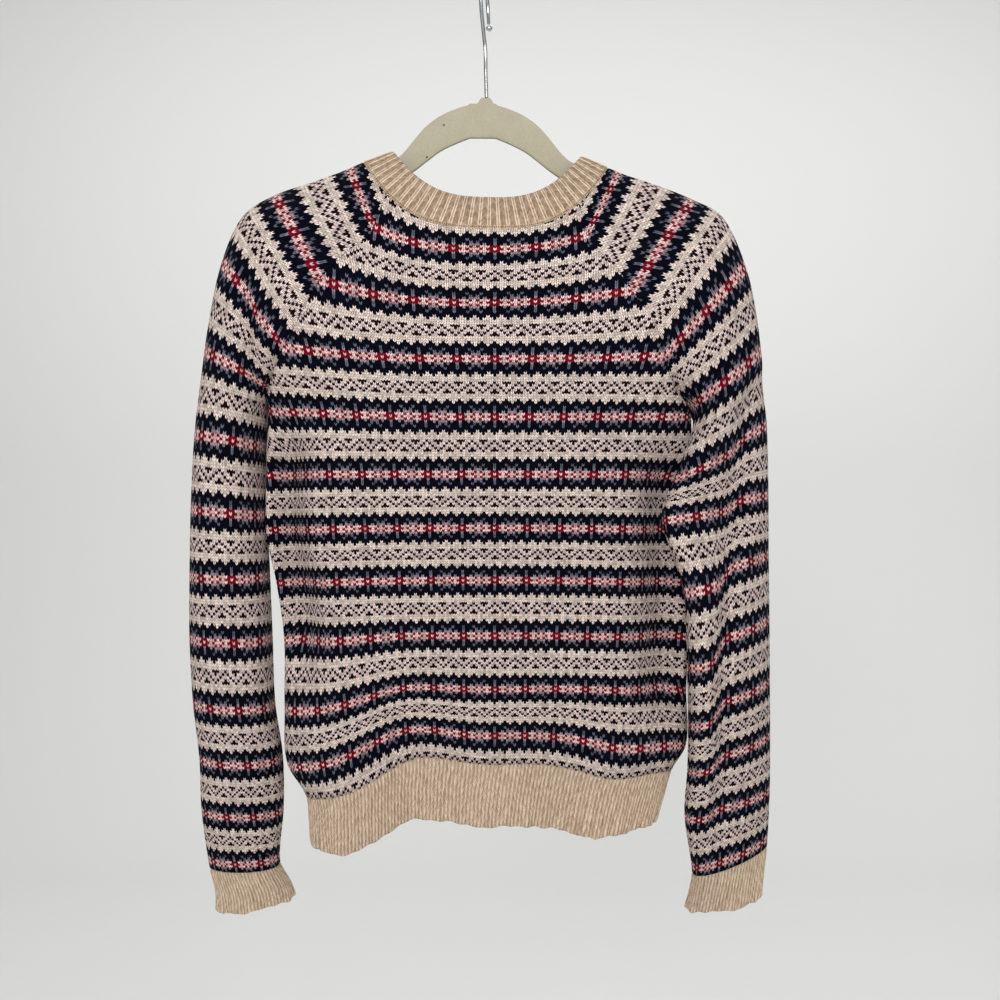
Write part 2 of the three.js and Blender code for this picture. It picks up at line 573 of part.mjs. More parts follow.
// Triangles are turned outwards as a whole, by the sign of the volume that they enclose
function closedGeometry(positions, faces) {
  const corner = (index) => new THREE.Vector3().fromArray(positions, 3 * index);
  let volume = 0;
  for (let index = 0; index < faces.length; index += 3) {
    const [a, b, c] = [corner(faces[index]), corner(faces[index + 1]), corner(faces[index + 2])];
    volume += a.dot(b.cross(c));
  }
  if (volume < 0) {
    for (let index = 0; index < faces.length; index += 3) {
      [faces[index + 1], faces[index + 2]] = [faces[index + 2], faces[index + 1]];
    }
  }
  const geometry = new THREE.BufferGeometry();
  geometry.setAttribute("position", new THREE.Float32BufferAttribute(positions, 3));
  geometry.setIndex(faces);
  geometry.computeVertexNormals();
  return geometry;
}

// A solid through closed sections of the same number of points, with a fan at each end
function sectionsGeometry(sections) {
  const sides = sections[0].length;
  const positions = sections.flatMap((section) => section.flatMap((point) => point.toArray()));
  const faces = [];
  for (let index = 0; index < sections.length - 1; index += 1) {
    for (let side = 0; side < sides; side += 1) {
      const next = (side + 1) % sides;
      const a = index * sides + side;
      const b = index * sides + next;
      faces.push(a, a + sides, b + sides, a, b + sides, b);
    }
  }
  const ends = [[0, false], [sections.length - 1, true]];
  for (const [index, isLast] of ends) {
    const middle = new THREE.Vector3();
    sections[index].forEach((point) => middle.addScaledVector(point, 1 / sides));
    const centre = positions.length / 3;
    positions.push(...middle.toArray());
    for (let side = 0; side < sides; side += 1) {
      const a = index * sides + side;
      const b = index * sides + ((side + 1) % sides);
      faces.push(...(isLast ? [a, centre, b] : [a, b, centre]));
    }
  }
  return closedGeometry(positions, faces);
}

function hangerGeometry() {
  const stations = boss.map((station) => ({ ...station, slope: 0 }));
  for (const { out, top, bottom } of arms) {
    stations.push({ x: armMiddleX - out, top, bottom, slope: armSlope });
    stations.push({ x: armMiddleX + out, top, bottom, slope: armSlope });
  }
  stations.sort((one, other) => one.x - other.x);
  return sectionsGeometry(stations.map(({ x, top, bottom, slope }) => {
    const profile = [
      [-armHalfThickness + armBevel, top],
      [armHalfThickness - armBevel, top],
      [armHalfThickness, top - armBevel],
      [armHalfThickness, bottom + armBevel],
      [armHalfThickness - armBevel, bottom],
      [-armHalfThickness + armBevel, bottom],
      [-armHalfThickness, bottom + armBevel],
      [-armHalfThickness, top - armBevel],
    ];
    return profile.map(([y, z]) => new THREE.Vector3(x, y, z + slope * x));
  }));
}

// The wire's rings stand square to a smooth path. The last ones swell to the ball and close on it.
function hookGeometry() {
  const places = hookPath.map(({ x, y, z }) => new THREE.Vector3(x, y, z));
  const path = new THREE.CatmullRomCurve3(places, false, "centripetal");
  const length = path.getLength();
  const neckLength = Math.sqrt(ballRadius * ballRadius - wireRadius * wireRadius);
  const wireEnd = (length - neckLength) / length;
  const rings = [];
  for (let step = 0; step <= wireSteps; step += 1) {
    const share = (wireEnd * step) / wireSteps;
    rings.push({ place: path.getPointAt(share), along: path.getTangentAt(share), radius: wireRadius });
  }
  const ballMiddle = path.getPointAt(1);
  const along = path.getTangentAt(1);
  const firstAngle = Math.PI - Math.asin(wireRadius / ballRadius);
  for (let step = 1; step < ballSteps; step += 1) {
    const angle = mix(firstAngle, ballTipAngle, step / (ballSteps - 1));
    const place = ballMiddle.clone().addScaledVector(along, ballRadius * Math.cos(angle));
    rings.push({ place, along, radius: ballRadius * Math.sin(angle) });
  }
  const sideways = new THREE.Vector3(1, 0, 0);
  return sectionsGeometry(rings.map((ring) => {
    const first = sideways.clone().addScaledVector(ring.along, -sideways.dot(ring.along)).normalize();
    const second = ring.along.clone().cross(first);
    const section = [];
    for (let side = 0; side < wireSides; side += 1) {
      const angle = (2 * Math.PI * side) / wireSides;
      const point = ring.place.clone().addScaledVector(first, ring.radius * Math.cos(angle));
      section.push(point.addScaledVector(second, ring.radius * Math.sin(angle)));
    }
    return section;
  }));
}

const cloth = [
  { name: "body_back", grid: panelGrid(true, backColumns), facing: -1 },
  { name: "body_front", grid: panelGrid(false, frontColumns), facing: 1 },
  { name: "sleeve_left", grid: sleeveGrid(true), facing: 1 },
  { name: "sleeve_right", grid: sleeveGrid(false), facing: -1 },
  { name: "neckband", grid: neckbandGrid(), facing: -1, rib: neckColour, isRing: true },
  { name: "hem_rib_back", grid: hemGrid(true, backColumns), facing: -1, rib: ribColour },
  { name: "hem_rib_front", grid: hemGrid(false, frontColumns), facing: 1, rib: ribColour },
  { name: "cuff_left", grid: cuffGrid(true), facing: 1, rib: ribColour, isRing: true },
  { name: "cuff_right", grid: cuffGrid(false), facing: -1, rib: ribColour, isRing: true },
];
for (const piece of cloth) {
  piece.wall = piece.rib === undefined ? knitWall : ribWall;
  piece.normals = ownNormals(piece.grid, piece.isRing, piece.facing);
}
shareNormals(cloth);
setUnderarms(cloth);

const jumper = new THREE.Group();
jumper.name = "fair_isle_jumper";

function addMesh(name, geometry, colour, roughness, metalness) {
  const material = new THREE.MeshStandardMaterial({ color: colour, roughness, metalness });
  const mesh = new THREE.Mesh(geometry, material);
  mesh.name = name;
  jumper.add(mesh);
}

for (const piece of cloth) {
  addMesh(piece.name, wallGeometry(piece), piece.rib ?? knitColour, clothRoughness, 0);
}
addMesh("hanger", hangerGeometry(), hangerColour, flockRoughness, 0);
addMesh("hanger_hook", hookGeometry(), wireColour, wireRoughness, 1);

export default jumper;
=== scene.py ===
import bpy
import math
import numpy as np
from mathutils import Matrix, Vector


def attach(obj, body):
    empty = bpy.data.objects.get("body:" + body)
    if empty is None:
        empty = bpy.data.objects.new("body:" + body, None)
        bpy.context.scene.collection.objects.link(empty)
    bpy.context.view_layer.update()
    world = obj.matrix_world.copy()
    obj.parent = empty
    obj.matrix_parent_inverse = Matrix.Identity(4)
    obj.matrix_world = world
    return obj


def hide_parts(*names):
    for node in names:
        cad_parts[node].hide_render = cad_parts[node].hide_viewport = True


# Fair isle raglan jumper on a slim clothes hanger. Sizes are millimetres until a mesh is made.
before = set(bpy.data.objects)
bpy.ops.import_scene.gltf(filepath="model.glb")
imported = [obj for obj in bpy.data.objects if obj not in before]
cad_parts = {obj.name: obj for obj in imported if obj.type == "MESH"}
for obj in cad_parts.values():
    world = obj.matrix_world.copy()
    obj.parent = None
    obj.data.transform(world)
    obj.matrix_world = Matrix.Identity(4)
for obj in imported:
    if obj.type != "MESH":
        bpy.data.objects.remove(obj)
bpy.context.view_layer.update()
metres = 0.001

cameraSettings = {"place": (13.5, -1000, -461.8), "lens": 40, "sensor": 36}


def makeCamera(settings):
    camera = bpy.data.cameras.new("photoCamera")
    camera.lens = settings["lens"]
    camera.sensor_width = settings["sensor"]
    camera.clip_end = 60
    holder = bpy.data.objects.new("photoCamera", camera)
    holder.location = [value * metres for value in settings["place"]]
    holder.rotation_euler = (math.pi / 2, 0, 0)
    bpy.context.collection.objects.link(holder)
    bpy.context.scene.camera = holder


makeCamera(cameraSettings)
print("camera placed")


# Tables: named columns, a row for each band, section or fold
def bandTable(names, rows):
    return dict(zip(names.split(), np.array(rows, float).T))


body = bandTable("row middleZ backY frontY leftX leftZ rightX rightZ", [
    (0, -245.3, -38, 37, -190, -229, 187, -234),
    (24, -292.7, -46, 39, -190, -272, 187, -282),
    (48, -341.5, -52, 41, -191, -332, 186, -338),
    (68, -383, -56, 42, -191.5, -374, 184, -380),
    (96, -440, -58, 42, -194, -440, 186, -440),
    (120, -485.5, -58, 42, -194.5, -489, 184, -489),
    (144, -529.7, -57, 42, -185, -536, 182, -536),
    (168, -577, -56, 42, -178, -586, 182, -584),
    (192, -621.4, -57, 42, -177, -645, 180, -632),
    (216, -657.4, -60, 44, -174.5, -692, 179.5, -679),
    (228, -684, -48, 37, -158.5, -720, 167, -702),
    (240, -711, -44, 34, -155.5, -744, 160, -726),
    (252, -739.5, -42, 33, -154, -762, 153, -750),
])
backFolds = bandTable("place width drop push fromRow fullRow growth", [
    (-0.76, 0.28, -10, -7, 150, 216, 0.5),
    (-0.4, 0.2, 6, 6, 150, 228, 0),
    (0.02, 0.24, -3, -5, 170, 228, 0),
    (0.33, 0.15, -3, 5, 190, 228, 0.3),
    (0.64, 0.22, -11, -6, 190, 228, 0),
    (0.87, 0.12, 0, 31, 70, 104, 0),  # the side falls back beside the bent sleeve
    (0.87, 0.12, 0, -31, 180, 222, 0),
    (-0.9, 0.1, 0, 36, 66, 96, 0),  # and beside the straight sleeve
    (-0.9, 0.1, 0, -36, 150, 200, 0),
])
frontFolds = bandTable("place width drop push fromRow fullRow growth", [
    (-0.5, 0.3, -6, 6, 150, 228, 0),
    (0.05, 0.24, 5, -6, 150, 228, 0),
    (0.55, 0.28, -6, 6, 160, 228, 0),
])
sleeveColumns = "row outX outZ outY inX inZ inY back front"
leftBands = bandTable(sleeveColumns, [
    (0, -119.5, -165.4, 0, -91.8, -228.6, -3, 30, 38),
    (12, -152, -177.8, 0, -117.2, -245.3, -3, 35, 39),
    (24, -187, -190, 0, -141.7, -272.1, -3, 41, 41),
    (36, -215.3, -209.6, 0, -157.7, -303.5, -4, 47, 43),
    (48, -232.3, -249.8, 0, -172.7, -329.9, -5, 52, 45),
    (64, -242.5, -303, -1, -185.1, -353, -6, 56, 47),
    (80, -249, -357, -2, -193.8, -374, -6, 58, 48),
    (96, -254.5, -404.2, -2, -198.6, -414.4, -6, 58, 48),
    (120, -258.5, -469, -2, -197.6, -475.2, -6, 55, 46),
    (144, -260, -528.4, -3, -195, -530, -6, 51, 43),
    (168, -260.5, -582.4, -4, -192.4, -585.3, -6, 46, 39),
    (192, -258, -640, -4, -189.7, -644.3, -6, 41, 34),
    (216, -252.7, -689.5, -5, -182.5, -691.7, -6, 36, 29),
    (240, -251.2, -736.3, -5, -181.6, -738.2, -6, 30, 24),
    (268, -244.5, -786.7, -5, -184.6, -786.7, -6, 25, 20),
    (276, -239.6, -808.3, -5, -175.6, -803.8, -6, 23, 18),
    (284, -238.4, -828, -5, -172, -816.4, -6, 22, 17),
])
rightBands = bandTable(sleeveColumns, [
    (0, 116, -168.5, 0, 81.4, -233.8, -3, 30, 38),
    (12, 150, -179.8, 0, 109.6, -254.9, -3, 35, 39),
    (24, 184.8, -193.7, 0, 127.3, -281.6, -3, 41, 41),
    (36, 212.6, -211.4, 0, 146, -308.6, -4, 47, 43),
    (48, 231.3, -254.3, 0, 155.8, -337.6, -4, 52, 45),
    (62, 240, -297, 0, 166, -362, -2, 56, 45),
    (74, 244.5, -336, 1, 184.5, -382.6, 2, 58, 45),
    (76.5, 245.2, -342, 1, 186.6, -389, -8, 53, 45),
    (80, 246.2, -351, 2, 183.5, -399, -24, 44, 45),
    (84, 247.5, -361, 3, 178.5, -410, -33, 38, 45),
    (90, 250.2, -378, 4, 171.5, -427, -41, 35, 44),
    (96, 252.5, -394.3, 5, 163, -445, -47, 33, 42),
    (120, 254.2, -457.3, 5, 152.5, -479, -52, 31, 40),
    (144, 253.7, -509.5, 4, 172, -540.5, -45, 34, 38),
    (168, 253.7, -566.2, 2, 177.5, -607.3, -32, 36, 36),
    (192, 253.7, -621.1, 0, 179, -657.6, -30, 34, 32),
    (216, 254.2, -669.7, 0, 179, -698.2, -27, 31, 28),
    (240, 253.7, -718.3, -2, 178, -741.4, -18, 28, 24),
    (268, 251, -767.8, -4, 185.6, -793, -12, 24, 20),
    (276, 248.3, -791.2, -5, 183.7, -810, -10, 22, 18),
    (284, 245.6, -815.5, -5, 181, -826.3, -8, 21, 17),
])
shapeColumns = "row wrap creaseAt crease step lean"
leftShape = bandTable(shapeColumns, [
    (0, 0.5, 0.5, 0, 0, 0),
    (24, 0.55, 0.5, 0, 0, 0),
    (36, 0.64, 0.5, 3, 0, 0),
    (48, 0.77, 0.56, 9, 0.1, 0),
    (64, 0.9, 0.78, 8, 0.1, 0),
    (80, 1, 0.85, 0, 0, 0),
    (284, 1, 0.85, 0, 0, 0),
])
rightShape = bandTable(shapeColumns, [
    (0, 0.5, 0.3, 0, 0, 0),
    (24, 0.55, 0.3, 0, 0, 0),
    (48, 0.77, 0.3, 0, 0, 0),
    (62, 0.9, 0.28, 4, 0.05, 0),
    (74, 1, 0.27, 6, 0.05, 0.3),
    (80, 1, 0.3, 7, 0.08, 0.8),
    (96, 1, 0.37, 9, 0.15, 0.9),
    (120, 1, 0.38, 11, 0.35, 0.95),
    (144, 1, 0.58, 11, 0.4, 0.8),
    (168, 1, 0.7, 9, 0.45, 0.5),
    (192, 1, 0.72, 8, 0.4, 0.3),
    (240, 1, 0.72, 6, 0.25, 0),
    (268, 1, 0.8, 0, 0, 0),
    (284, 1, 0.8, 0, 0, 0),
])
neckSeam = {"left": (-109, -159.5), "right": (110.5, -164.5), "backY": -35, "frontY": 37,
            "backDrop": 64, "frontDrop": 94, "bend": 3.1}
neckTop = {"left": (-82, -149.6), "right": (86, -154), "backY": -32, "frontY": 35,
           "backDrop": 46, "frontDrop": 76, "bend": 2.9}
cut = {
    "knitWall": 2, "ribWall": 2.4, "underarmRow": 68, "matchedRow": 48,
    "corners": (-0.79, 0.75), "sideY": (-6, 2), "underarmRows": (80, 74),
    "backFan": 1, "frontFan": 4, "rowBow": 2.4, "neckFlatness": 1.3, "bodyFullness": 0.77,
    "foldFade": 6, "laterRows": 30, "loopSquareness": 3, "loopRoundness": 2.2,
    "sleeveFullness": 0.8, "creaseWidth": 0.16, "stepSteepness": 0.7,
    "hemRows": (228, 252), "cuffRows": (268, 284),
}
# Knit rows where the panels' cross lines meet the raglan seams, the first three on the neck fan
raglanRows = np.array([4, 14, 24, 34, 43, 51, 57, 62, 65.5, 68])
neckLines = 3
lastRaglanLine = neckLines + len(raglanRows) - 1


# A column's value at a knit row: a cubic through the table, each slope from the row's neighbours
def valueAt(table, column, row):
    rows, values = table["row"], table[column]
    row = np.asarray(row, float)
    low = np.clip(np.searchsorted(rows, row, side="left") - 1, 0, len(rows) - 2)
    high = low + 1
    before = np.maximum(low - 1, 0)
    after = np.minimum(high + 1, len(rows) - 1)
    span = rows[high] - rows[low]
    lowSlope = (values[high] - values[before]) / (rows[high] - rows[before]) * span
    highSlope = (values[after] - values[low]) / (rows[after] - rows[low]) * span
    share = np.clip((row - rows[low]) / span, 0, 1)
    square, cube = share**2, share**3
    return ((2 * cube - 3 * square + 1) * values[low] + (cube - 2 * square + share) * lowSlope
            + (3 * square - 2 * cube) * values[high] + (cube - square) * highSlope)


def mix(low, high, share):
    return low + (high - low) * share


def ease(value):
    value = np.clip(value, 0, 1)
    return value * value * (3 - 2 * value)


def point(x, y, z):
    return np.stack(np.broadcast_arrays(x, y, z), axis=-1)


# Neck loop: x runs evenly, y is a rounded box of the place, z sags by a power of the place
def neckPoint(loop, isBack, across):
    far = np.minimum(1, np.abs(across))
    share = (across + 1) / 2
    depth = np.maximum(0, 1 - far ** cut["loopSquareness"]) ** (1 / cut["loopRoundness"])
    drop = np.where(isBack, loop["backDrop"], loop["frontDrop"]) * (1 - far ** loop["bend"])
    return point(mix(loop["left"][0], loop["right"][0], share),
                 np.where(isBack, loop["backY"], loop["frontY"]) * depth,
                 mix(loop["left"][1], loop["right"][1], share) - drop)


# Sleeve ring: turn 0 is the back seam, 0.5 the outer edge, 1 the front seam. The chord runs from the
# outer to the inner edge, the swell is a power of a sine, and a crease pushes a valley into the back.
def sleevePoint(side, row, turn):
    bands, shape = (leftBands, leftShape) if side == 0 else (rightBands, rightShape)
    reach = np.abs(1 - 2 * turn)
    wrap = valueAt(shape, "wrap", row)
    angle = np.pi * wrap * reach
    across = (1 - np.cos(angle)) / (1 - np.cos(np.pi * wrap))
    swell = np.maximum(0, np.sin(angle)) ** cut["sleeveFullness"]
    fromCrease = (across - valueAt(shape, "creaseAt", row)) / cut["creaseWidth"]
    isBack = turn < 0.5
    stepShare = np.where(isBack, valueAt(shape, "step", row), 0)
    stepped = mix(across, ease(0.5 + cut["stepSteepness"] * fromCrease), stepShare)
    valley = np.exp(-fromCrease**2) * np.sin(np.pi * across)
    lean = 1 - valueAt(shape, "lean", row) * across
    edgeY = mix(valueAt(bands, "outY", row), valueAt(bands, "inY", row), across)
    backY = edgeY - valueAt(bands, "back", row) * swell + valueAt(shape, "crease", row) * valley
    frontY = edgeY + valueAt(bands, "front", row) * swell * lean
    return point(mix(valueAt(bands, "outX", row), valueAt(bands, "inX", row), across),
                 np.where(isBack, backY, frontY),
                 mix(valueAt(bands, "outZ", row), valueAt(bands, "inZ", row), stepped))


# The sleeve's own knit row where a body row meets it on the raglan seam
def sleeveRowAt(side, row):
    matched = cut["matchedRow"]
    beyond = np.maximum(0, row - matched) / (cut["underarmRow"] - matched)
    return np.minimum(row, matched) + beyond * (cut["underarmRows"][side] - matched)


# The end of a body row, on the raglan seam or at the side
def rowEnd(isBack, side, row):
    seamRow = sleeveRowAt(side, np.minimum(row, cut["underarmRow"]))
    onSeam = sleevePoint(side, seamRow, 0.0 if isBack else 1.0)
    name = ("left", "right")[side]
    atSide = point(valueAt(body, name + "X", row), cut["sideY"][side], valueAt(body, name + "Z", row))
    return np.where((np.asarray(row) <= cut["underarmRow"])[..., None], onSeam, atSide)


# Body row: an arch between its two ends, bowed down at them, with folds that grow down the panel
def bodyPoint(isBack, row, across):
    left, right = rowEnd(isBack, 0, row), rowEnd(isBack, 1, row)
    roundness = ease(row / cut["underarmRow"])
    far = np.abs(across)
    power = mix(cut["neckFlatness"], cut["bodyFullness"], roundness)
    swung = np.sign(across) * np.sin(np.pi / 2 * far) ** cut["bodyFullness"]
    spread = mix(across, swung, roundness)
    arch = np.maximum(0, np.cos(np.pi / 2 * across)) ** power
    middleZ = valueAt(body, "middleZ", row)
    endZ = np.where(across < 0, left[..., 2], right[..., 2])
    share = (spread + 1) / 2
    middleY = valueAt(body, "backY" if isBack else "frontY", row)
    y = mix(left[..., 1], right[..., 1], share) + (middleY - (left[..., 1] + right[..., 1]) / 2) * arch
    z = middleZ + (endZ - middleZ) * np.abs(spread) ** cut["rowBow"]
    folds = backFolds if isBack else frontFolds
    for place, width, drop, push, fromRow, fullRow, growth in zip(*folds.values()):
        grown = ease((row - fromRow) / (fullRow - fromRow))
        later = 1 + growth * ease((row - fullRow) / cut["laterRows"])
        lobe = np.exp(-((spread - place) / width) ** 2) * grown * later * (1 - far ** cut["foldFade"])
        y = y + push * lobe
        z = z + drop * lobe
    return point(mix(left[..., 0], right[..., 0], share), y, z)


# Lines are counted from the neck seam. The first three fan out to row 4, the rest stand on raglan rows.
def rowOfLine(line):
    return np.interp(line, neckLines + np.arange(len(raglanRows)), raglanRows)


# Knit row at the neck seam, by place round the loop
knitRowsAtNeck = {"corner": -12, "backMiddle": -9, "frontMiddle": 7, "ridge": -5, "bend": 2.5}


# Body panel: near the neck, a blend from the neck seam to a fan line, held on the raglan seams
def panelPoint(isBack, line, across):
    fanLine = neckLines - 1 + (cut["backFan"] if isBack else cut["frontFan"])
    fanRow = rowOfLine(fanLine)
    row = np.where(line <= lastRaglanLine, rowOfLine(line), cut["underarmRow"] + (line - lastRaglanLine))
    plainPoint = bodyPoint(isBack, row, across)
    corners = cut["corners"]
    share = np.clip(line / fanLine, 0, 1)
    fanned = mix(neckPoint(neckSeam, isBack, mix(corners[0], corners[1], (across + 1) / 2)),
                 bodyPoint(isBack, fanRow + 0 * row, across), share[..., None])
    names = knitRowsAtNeck
    middle = names["backMiddle"] if isBack else names["frontMiddle"]
    neckRow = mix(middle, names["corner"], np.abs(across) ** names["bend"])
    knitRow = mix(neckRow, fanRow, share)
    for side, end in ((0, -1.0), (1, 1.0)):
        corner = neckPoint(neckSeam, isBack, corners[side])
        high = np.clip(line / neckLines, 0, 1)
        first = rowEnd(isBack, side, raglanRows[0] + 0 * row)
        seam = np.where((line < neckLines)[..., None], mix(corner, first, high[..., None]),
                        rowEnd(isBack, side, row))
        plain = mix(corner, rowEnd(isBack, side, fanRow + 0 * row), share[..., None])
        weight = np.maximum(0, across * end) ** 3
        fanned = fanned + (seam - plain) * weight[..., None]
        seamRow = np.where(line < neckLines, mix(names["corner"], raglanRows[0], high), row)
        knitRow = knitRow + (seamRow - mix(names["corner"], fanRow, share)) * weight
    isFanned = line < fanLine
    return np.where(isFanned[..., None], fanned, plainPoint), np.where(isFanned, knitRow, row)


def sleeveNeckPoint(side, turn):
    reach = np.abs(1 - 2 * turn)
    corner = cut["corners"][side]
    across = np.sign(corner) * (1 - (1 - abs(corner)) * reach**2)
    return neckPoint(neckSeam, turn < 0.5, across)


# Sleeve: from the neck seam to the first ring, then rings down to the cuff
def sleeveSheetPoint(side, line, turn):
    row = np.where(line <= lastRaglanLine, sleeveRowAt(side, rowOfLine(line)),
                   cut["underarmRows"][side] + (line - lastRaglanLine))
    high = np.clip(line / neckLines, 0, 1)
    first = sleevePoint(side, raglanRows[0] + 0 * row, turn)
    near = mix(sleeveNeckPoint(side, turn), first, high[..., None])
    names = knitRowsAtNeck
    neckRow = mix(names["ridge"], names["corner"], np.abs(1 - 2 * turn) ** 2)
    isNear = line < neckLines
    return (np.where(isNear[..., None], near, sleevePoint(side, row, turn)),
            np.where(isNear, mix(neckRow, raglanRows[0], high), row))


def unit(vectors):
    return vectors / np.maximum(1e-9, np.linalg.norm(vectors, axis=-1, keepdims=True))


def surfaceNormals(middle, isRing):
    if isRing:
        ringed = np.concatenate([middle[:, -2:-1], middle, middle[:, 1:2]], axis=1)
        along = np.gradient(ringed, axis=1)[:, 1:-1]
    else:
        along = np.gradient(middle, axis=1)
    down = np.gradient(middle, axis=0)
    return unit(np.cross(along, down))


# Running length along each row from its start, or down each column
def lengthsAlong(middle, axis):
    steps = np.linalg.norm(np.diff(middle, axis=axis), axis=-1)
    total = np.cumsum(steps, axis=axis)
    pad = [(0, 0), (0, 0)]
    pad[axis] = (1, 0)
    return np.pad(total, pad)


# Walls round off towards an open edge: half the thickness follows a quarter circle
def roundedEdge(distance, radius):
    near = np.clip(distance / radius, 0, 1)
    return np.sqrt(np.maximum(0.0025, 1 - (1 - near) ** 2))


bakeLayout = {"margin": 0.006, "outerLow": 0.175, "innerHigh": 0.135, "rimLow": 0.143, "rimStep": 0.007,
              "rimHeight": 0.004}


# A closed sheet: an outer and an inner skin and a rim round its edges. Relief lifts the outer skin.
def clothMesh(name, middle, normal, wall, knitUv, materials, isRing=False, relief=0, innerRelief=0,
              thickness=1):
    rows, columns = middle.shape[:2]
    half = (wall / 2 * thickness)[..., None] if np.ndim(thickness) else wall / 2
    outer = middle + normal * (half + np.asarray(relief)[..., None])
    inner = middle - normal * (half + np.asarray(innerRelief)[..., None])
    kept = columns - 1 if isRing else columns
    vertices = np.concatenate([outer[:, :kept].reshape(-1, 3), inner[:, :kept].reshape(-1, 3)]) * metres
    ids = np.arange(rows * kept).reshape(rows, kept)
    if isRing:
        ids = np.concatenate([ids, ids[:, :1]], axis=1)
    deep = ids + rows * kept
    layout = bakeLayout
    margin = layout["margin"]
    wide = margin + (1 - 2 * margin) * np.broadcast_to(np.linspace(0, 1, columns), (rows, columns))
    tall = np.broadcast_to(np.linspace(1, 0, rows)[:, None], (rows, columns))
    outerBake = np.stack([wide, layout["outerLow"] + (1 - margin - layout["outerLow"]) * tall], axis=-1)
    innerBake = np.stack([wide, margin + (layout["innerHigh"] - margin) * tall], axis=-1)

    def quads(a, b, c, d):
        return np.stack([a, b, c, d], axis=-1).reshape(-1, 4)

    def cells(grid):
        return grid[:-1, :-1], grid[1:, :-1], grid[1:, 1:], grid[:-1, 1:]

    def cellsOf(values):
        return np.stack(cells(values), axis=2).reshape(-1, 4, 2)

    groups = [(quads(*cells(ids)), cellsOf(outerBake), cellsOf(knitUv), 0),
              (quads(*cells(deep))[:, ::-1], cellsOf(innerBake)[:, ::-1], cellsOf(knitUv)[:, ::-1], 1)]
    rims = [(0, slice(None), False), (rows - 1, slice(None), True)]
    if not isRing:
        rims += [(slice(None), 0, True), (slice(None), columns - 1, False)]
    for index, (i, j, turned) in enumerate(rims):
        top, low, uv = ids[i, j], deep[i, j], knitUv[i, j]
        count = len(top)
        spread = margin + (1 - 2 * margin) * np.linspace(0, 1, count)
        level = layout["rimLow"] + index * layout["rimStep"]
        face = np.stack([top[:-1], top[1:], low[1:], low[:-1]], axis=-1)
        bake = np.empty((count - 1, 4, 2))
        run = np.stack([spread, level + 0 * spread], axis=-1)
        bake[:, 0], bake[:, 1] = run[:-1], run[1:]
        bake[:, 2], bake[:, 3] = run[1:] + (0, layout["rimHeight"]), run[:-1] + (0, layout["rimHeight"])
        rim = np.stack([uv[:-1], uv[1:], uv[1:], uv[:-1]], axis=1)
        if turned:
            face, bake, rim = face[:, ::-1], bake[:, ::-1], rim[:, ::-1]
        groups.append((face, bake, rim, 0))
    faces, bakes, knits = (np.concatenate([group[part] for group in groups]) for part in range(3))
    slots = np.concatenate([np.full(len(group[0]), group[3]) for group in groups])
    a, b, c, d = (vertices[faces[:, corner]] for corner in range(4))
    volume = np.sum(np.cross(c - a, d - b) * (a + b + c + d))
    if volume < 0:
        faces, bakes, knits = faces[:, ::-1], bakes[:, ::-1], knits[:, ::-1]
    return meshObject(name, vertices, faces, slots, {"OFBake": bakes, "stitches": knits}, materials)


def meshObject(name, vertices, faces, slots, uvMaps, materials):
    mesh = bpy.data.meshes.new(name)
    size = faces.shape[1]
    mesh.vertices.add(len(vertices))
    mesh.vertices.foreach_set("co", vertices.ravel())
    mesh.loops.add(faces.size)
    mesh.loops.foreach_set("vertex_index", faces.ravel().astype(np.int32))
    mesh.polygons.add(len(faces))
    mesh.polygons.foreach_set("loop_start", np.arange(0, faces.size, size, dtype=np.int32))
    for material in materials:
        mesh.materials.append(material)
    mesh.polygons.foreach_set("material_index", np.asarray(slots, np.int32))
    mesh.update(calc_edges=True)
    mesh.polygons.foreach_set("use_smooth", np.ones(len(faces), bool))
    for mapName, values in uvMaps.items():
        layer = mesh.uv_layers.new(name=mapName)
        layer.data.foreach_set("uv", np.asarray(values, float).ravel())
    mesh.update()
    piece = bpy.data.objects.new(name, mesh)
    bpy.context.collection.objects.link(piece)
    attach(piece, "root")
    print(name, len(faces), "faces")
    return piece


# A socket with arithmetic: each sign adds a Math node
class Field:
    def __init__(self, tree, socket):
        self.tree, self.socket = tree, socket

    def math(self, operation, *others):
        node = self.tree.nodes.new("ShaderNodeMath")
        node.operation = operation
        for index, value in enumerate((self, *others)):
            if isinstance(value, Field):
                self.tree.links.new(value.socket, node.inputs[index])
            else:
                node.inputs[index].default_value = value
        return Field(self.tree, node.outputs[0])

    def __add__(self, other):
        return self.math("ADD", other)

    def __sub__(self, other):
        return self.math("SUBTRACT", other)

    def __mul__(self, other):
        return self.math("MULTIPLY", other)

    def __truediv__(self, other):
        return self.math("DIVIDE", other)

    def floor(self):
        return self.math("FLOOR")

    def size(self):
        return self.math("ABSOLUTE")

    def over(self, period):
        return self.math("FLOORED_MODULO", period)

    def isAbout(self, value):
        return self.math("COMPARE", value, 0.5)

    def ranged(self, low, high, start=0, end=1, smooth=True):
        node = self.tree.nodes.new("ShaderNodeMapRange")
        node.interpolation_type = "SMOOTHSTEP" if smooth else "LINEAR"
        for name, value in zip(("From Min", "From Max", "To Min", "To Max"), (low, high, start, end)):
            node.inputs[name].default_value = value
        self.tree.links.new(self.socket, node.inputs["Value"])
        return Field(self.tree, node.outputs["Result"])

    def vector(self, other, third=None):
        node = self.tree.nodes.new("ShaderNodeCombineXYZ")
        for index, value in enumerate((self, other, third)):
            if value is not None:
                self.tree.links.new(value.socket, node.inputs[index])
        return Field(self.tree, node.outputs[0])


def linear(hexColour):
    values = [int(hexColour[index:index + 2], 16) / 255 for index in (1, 3, 5)]
    return [value / 12.92 if value <= 0.04045 else ((value + 0.055) / 1.055) ** 2.4 for value in values]


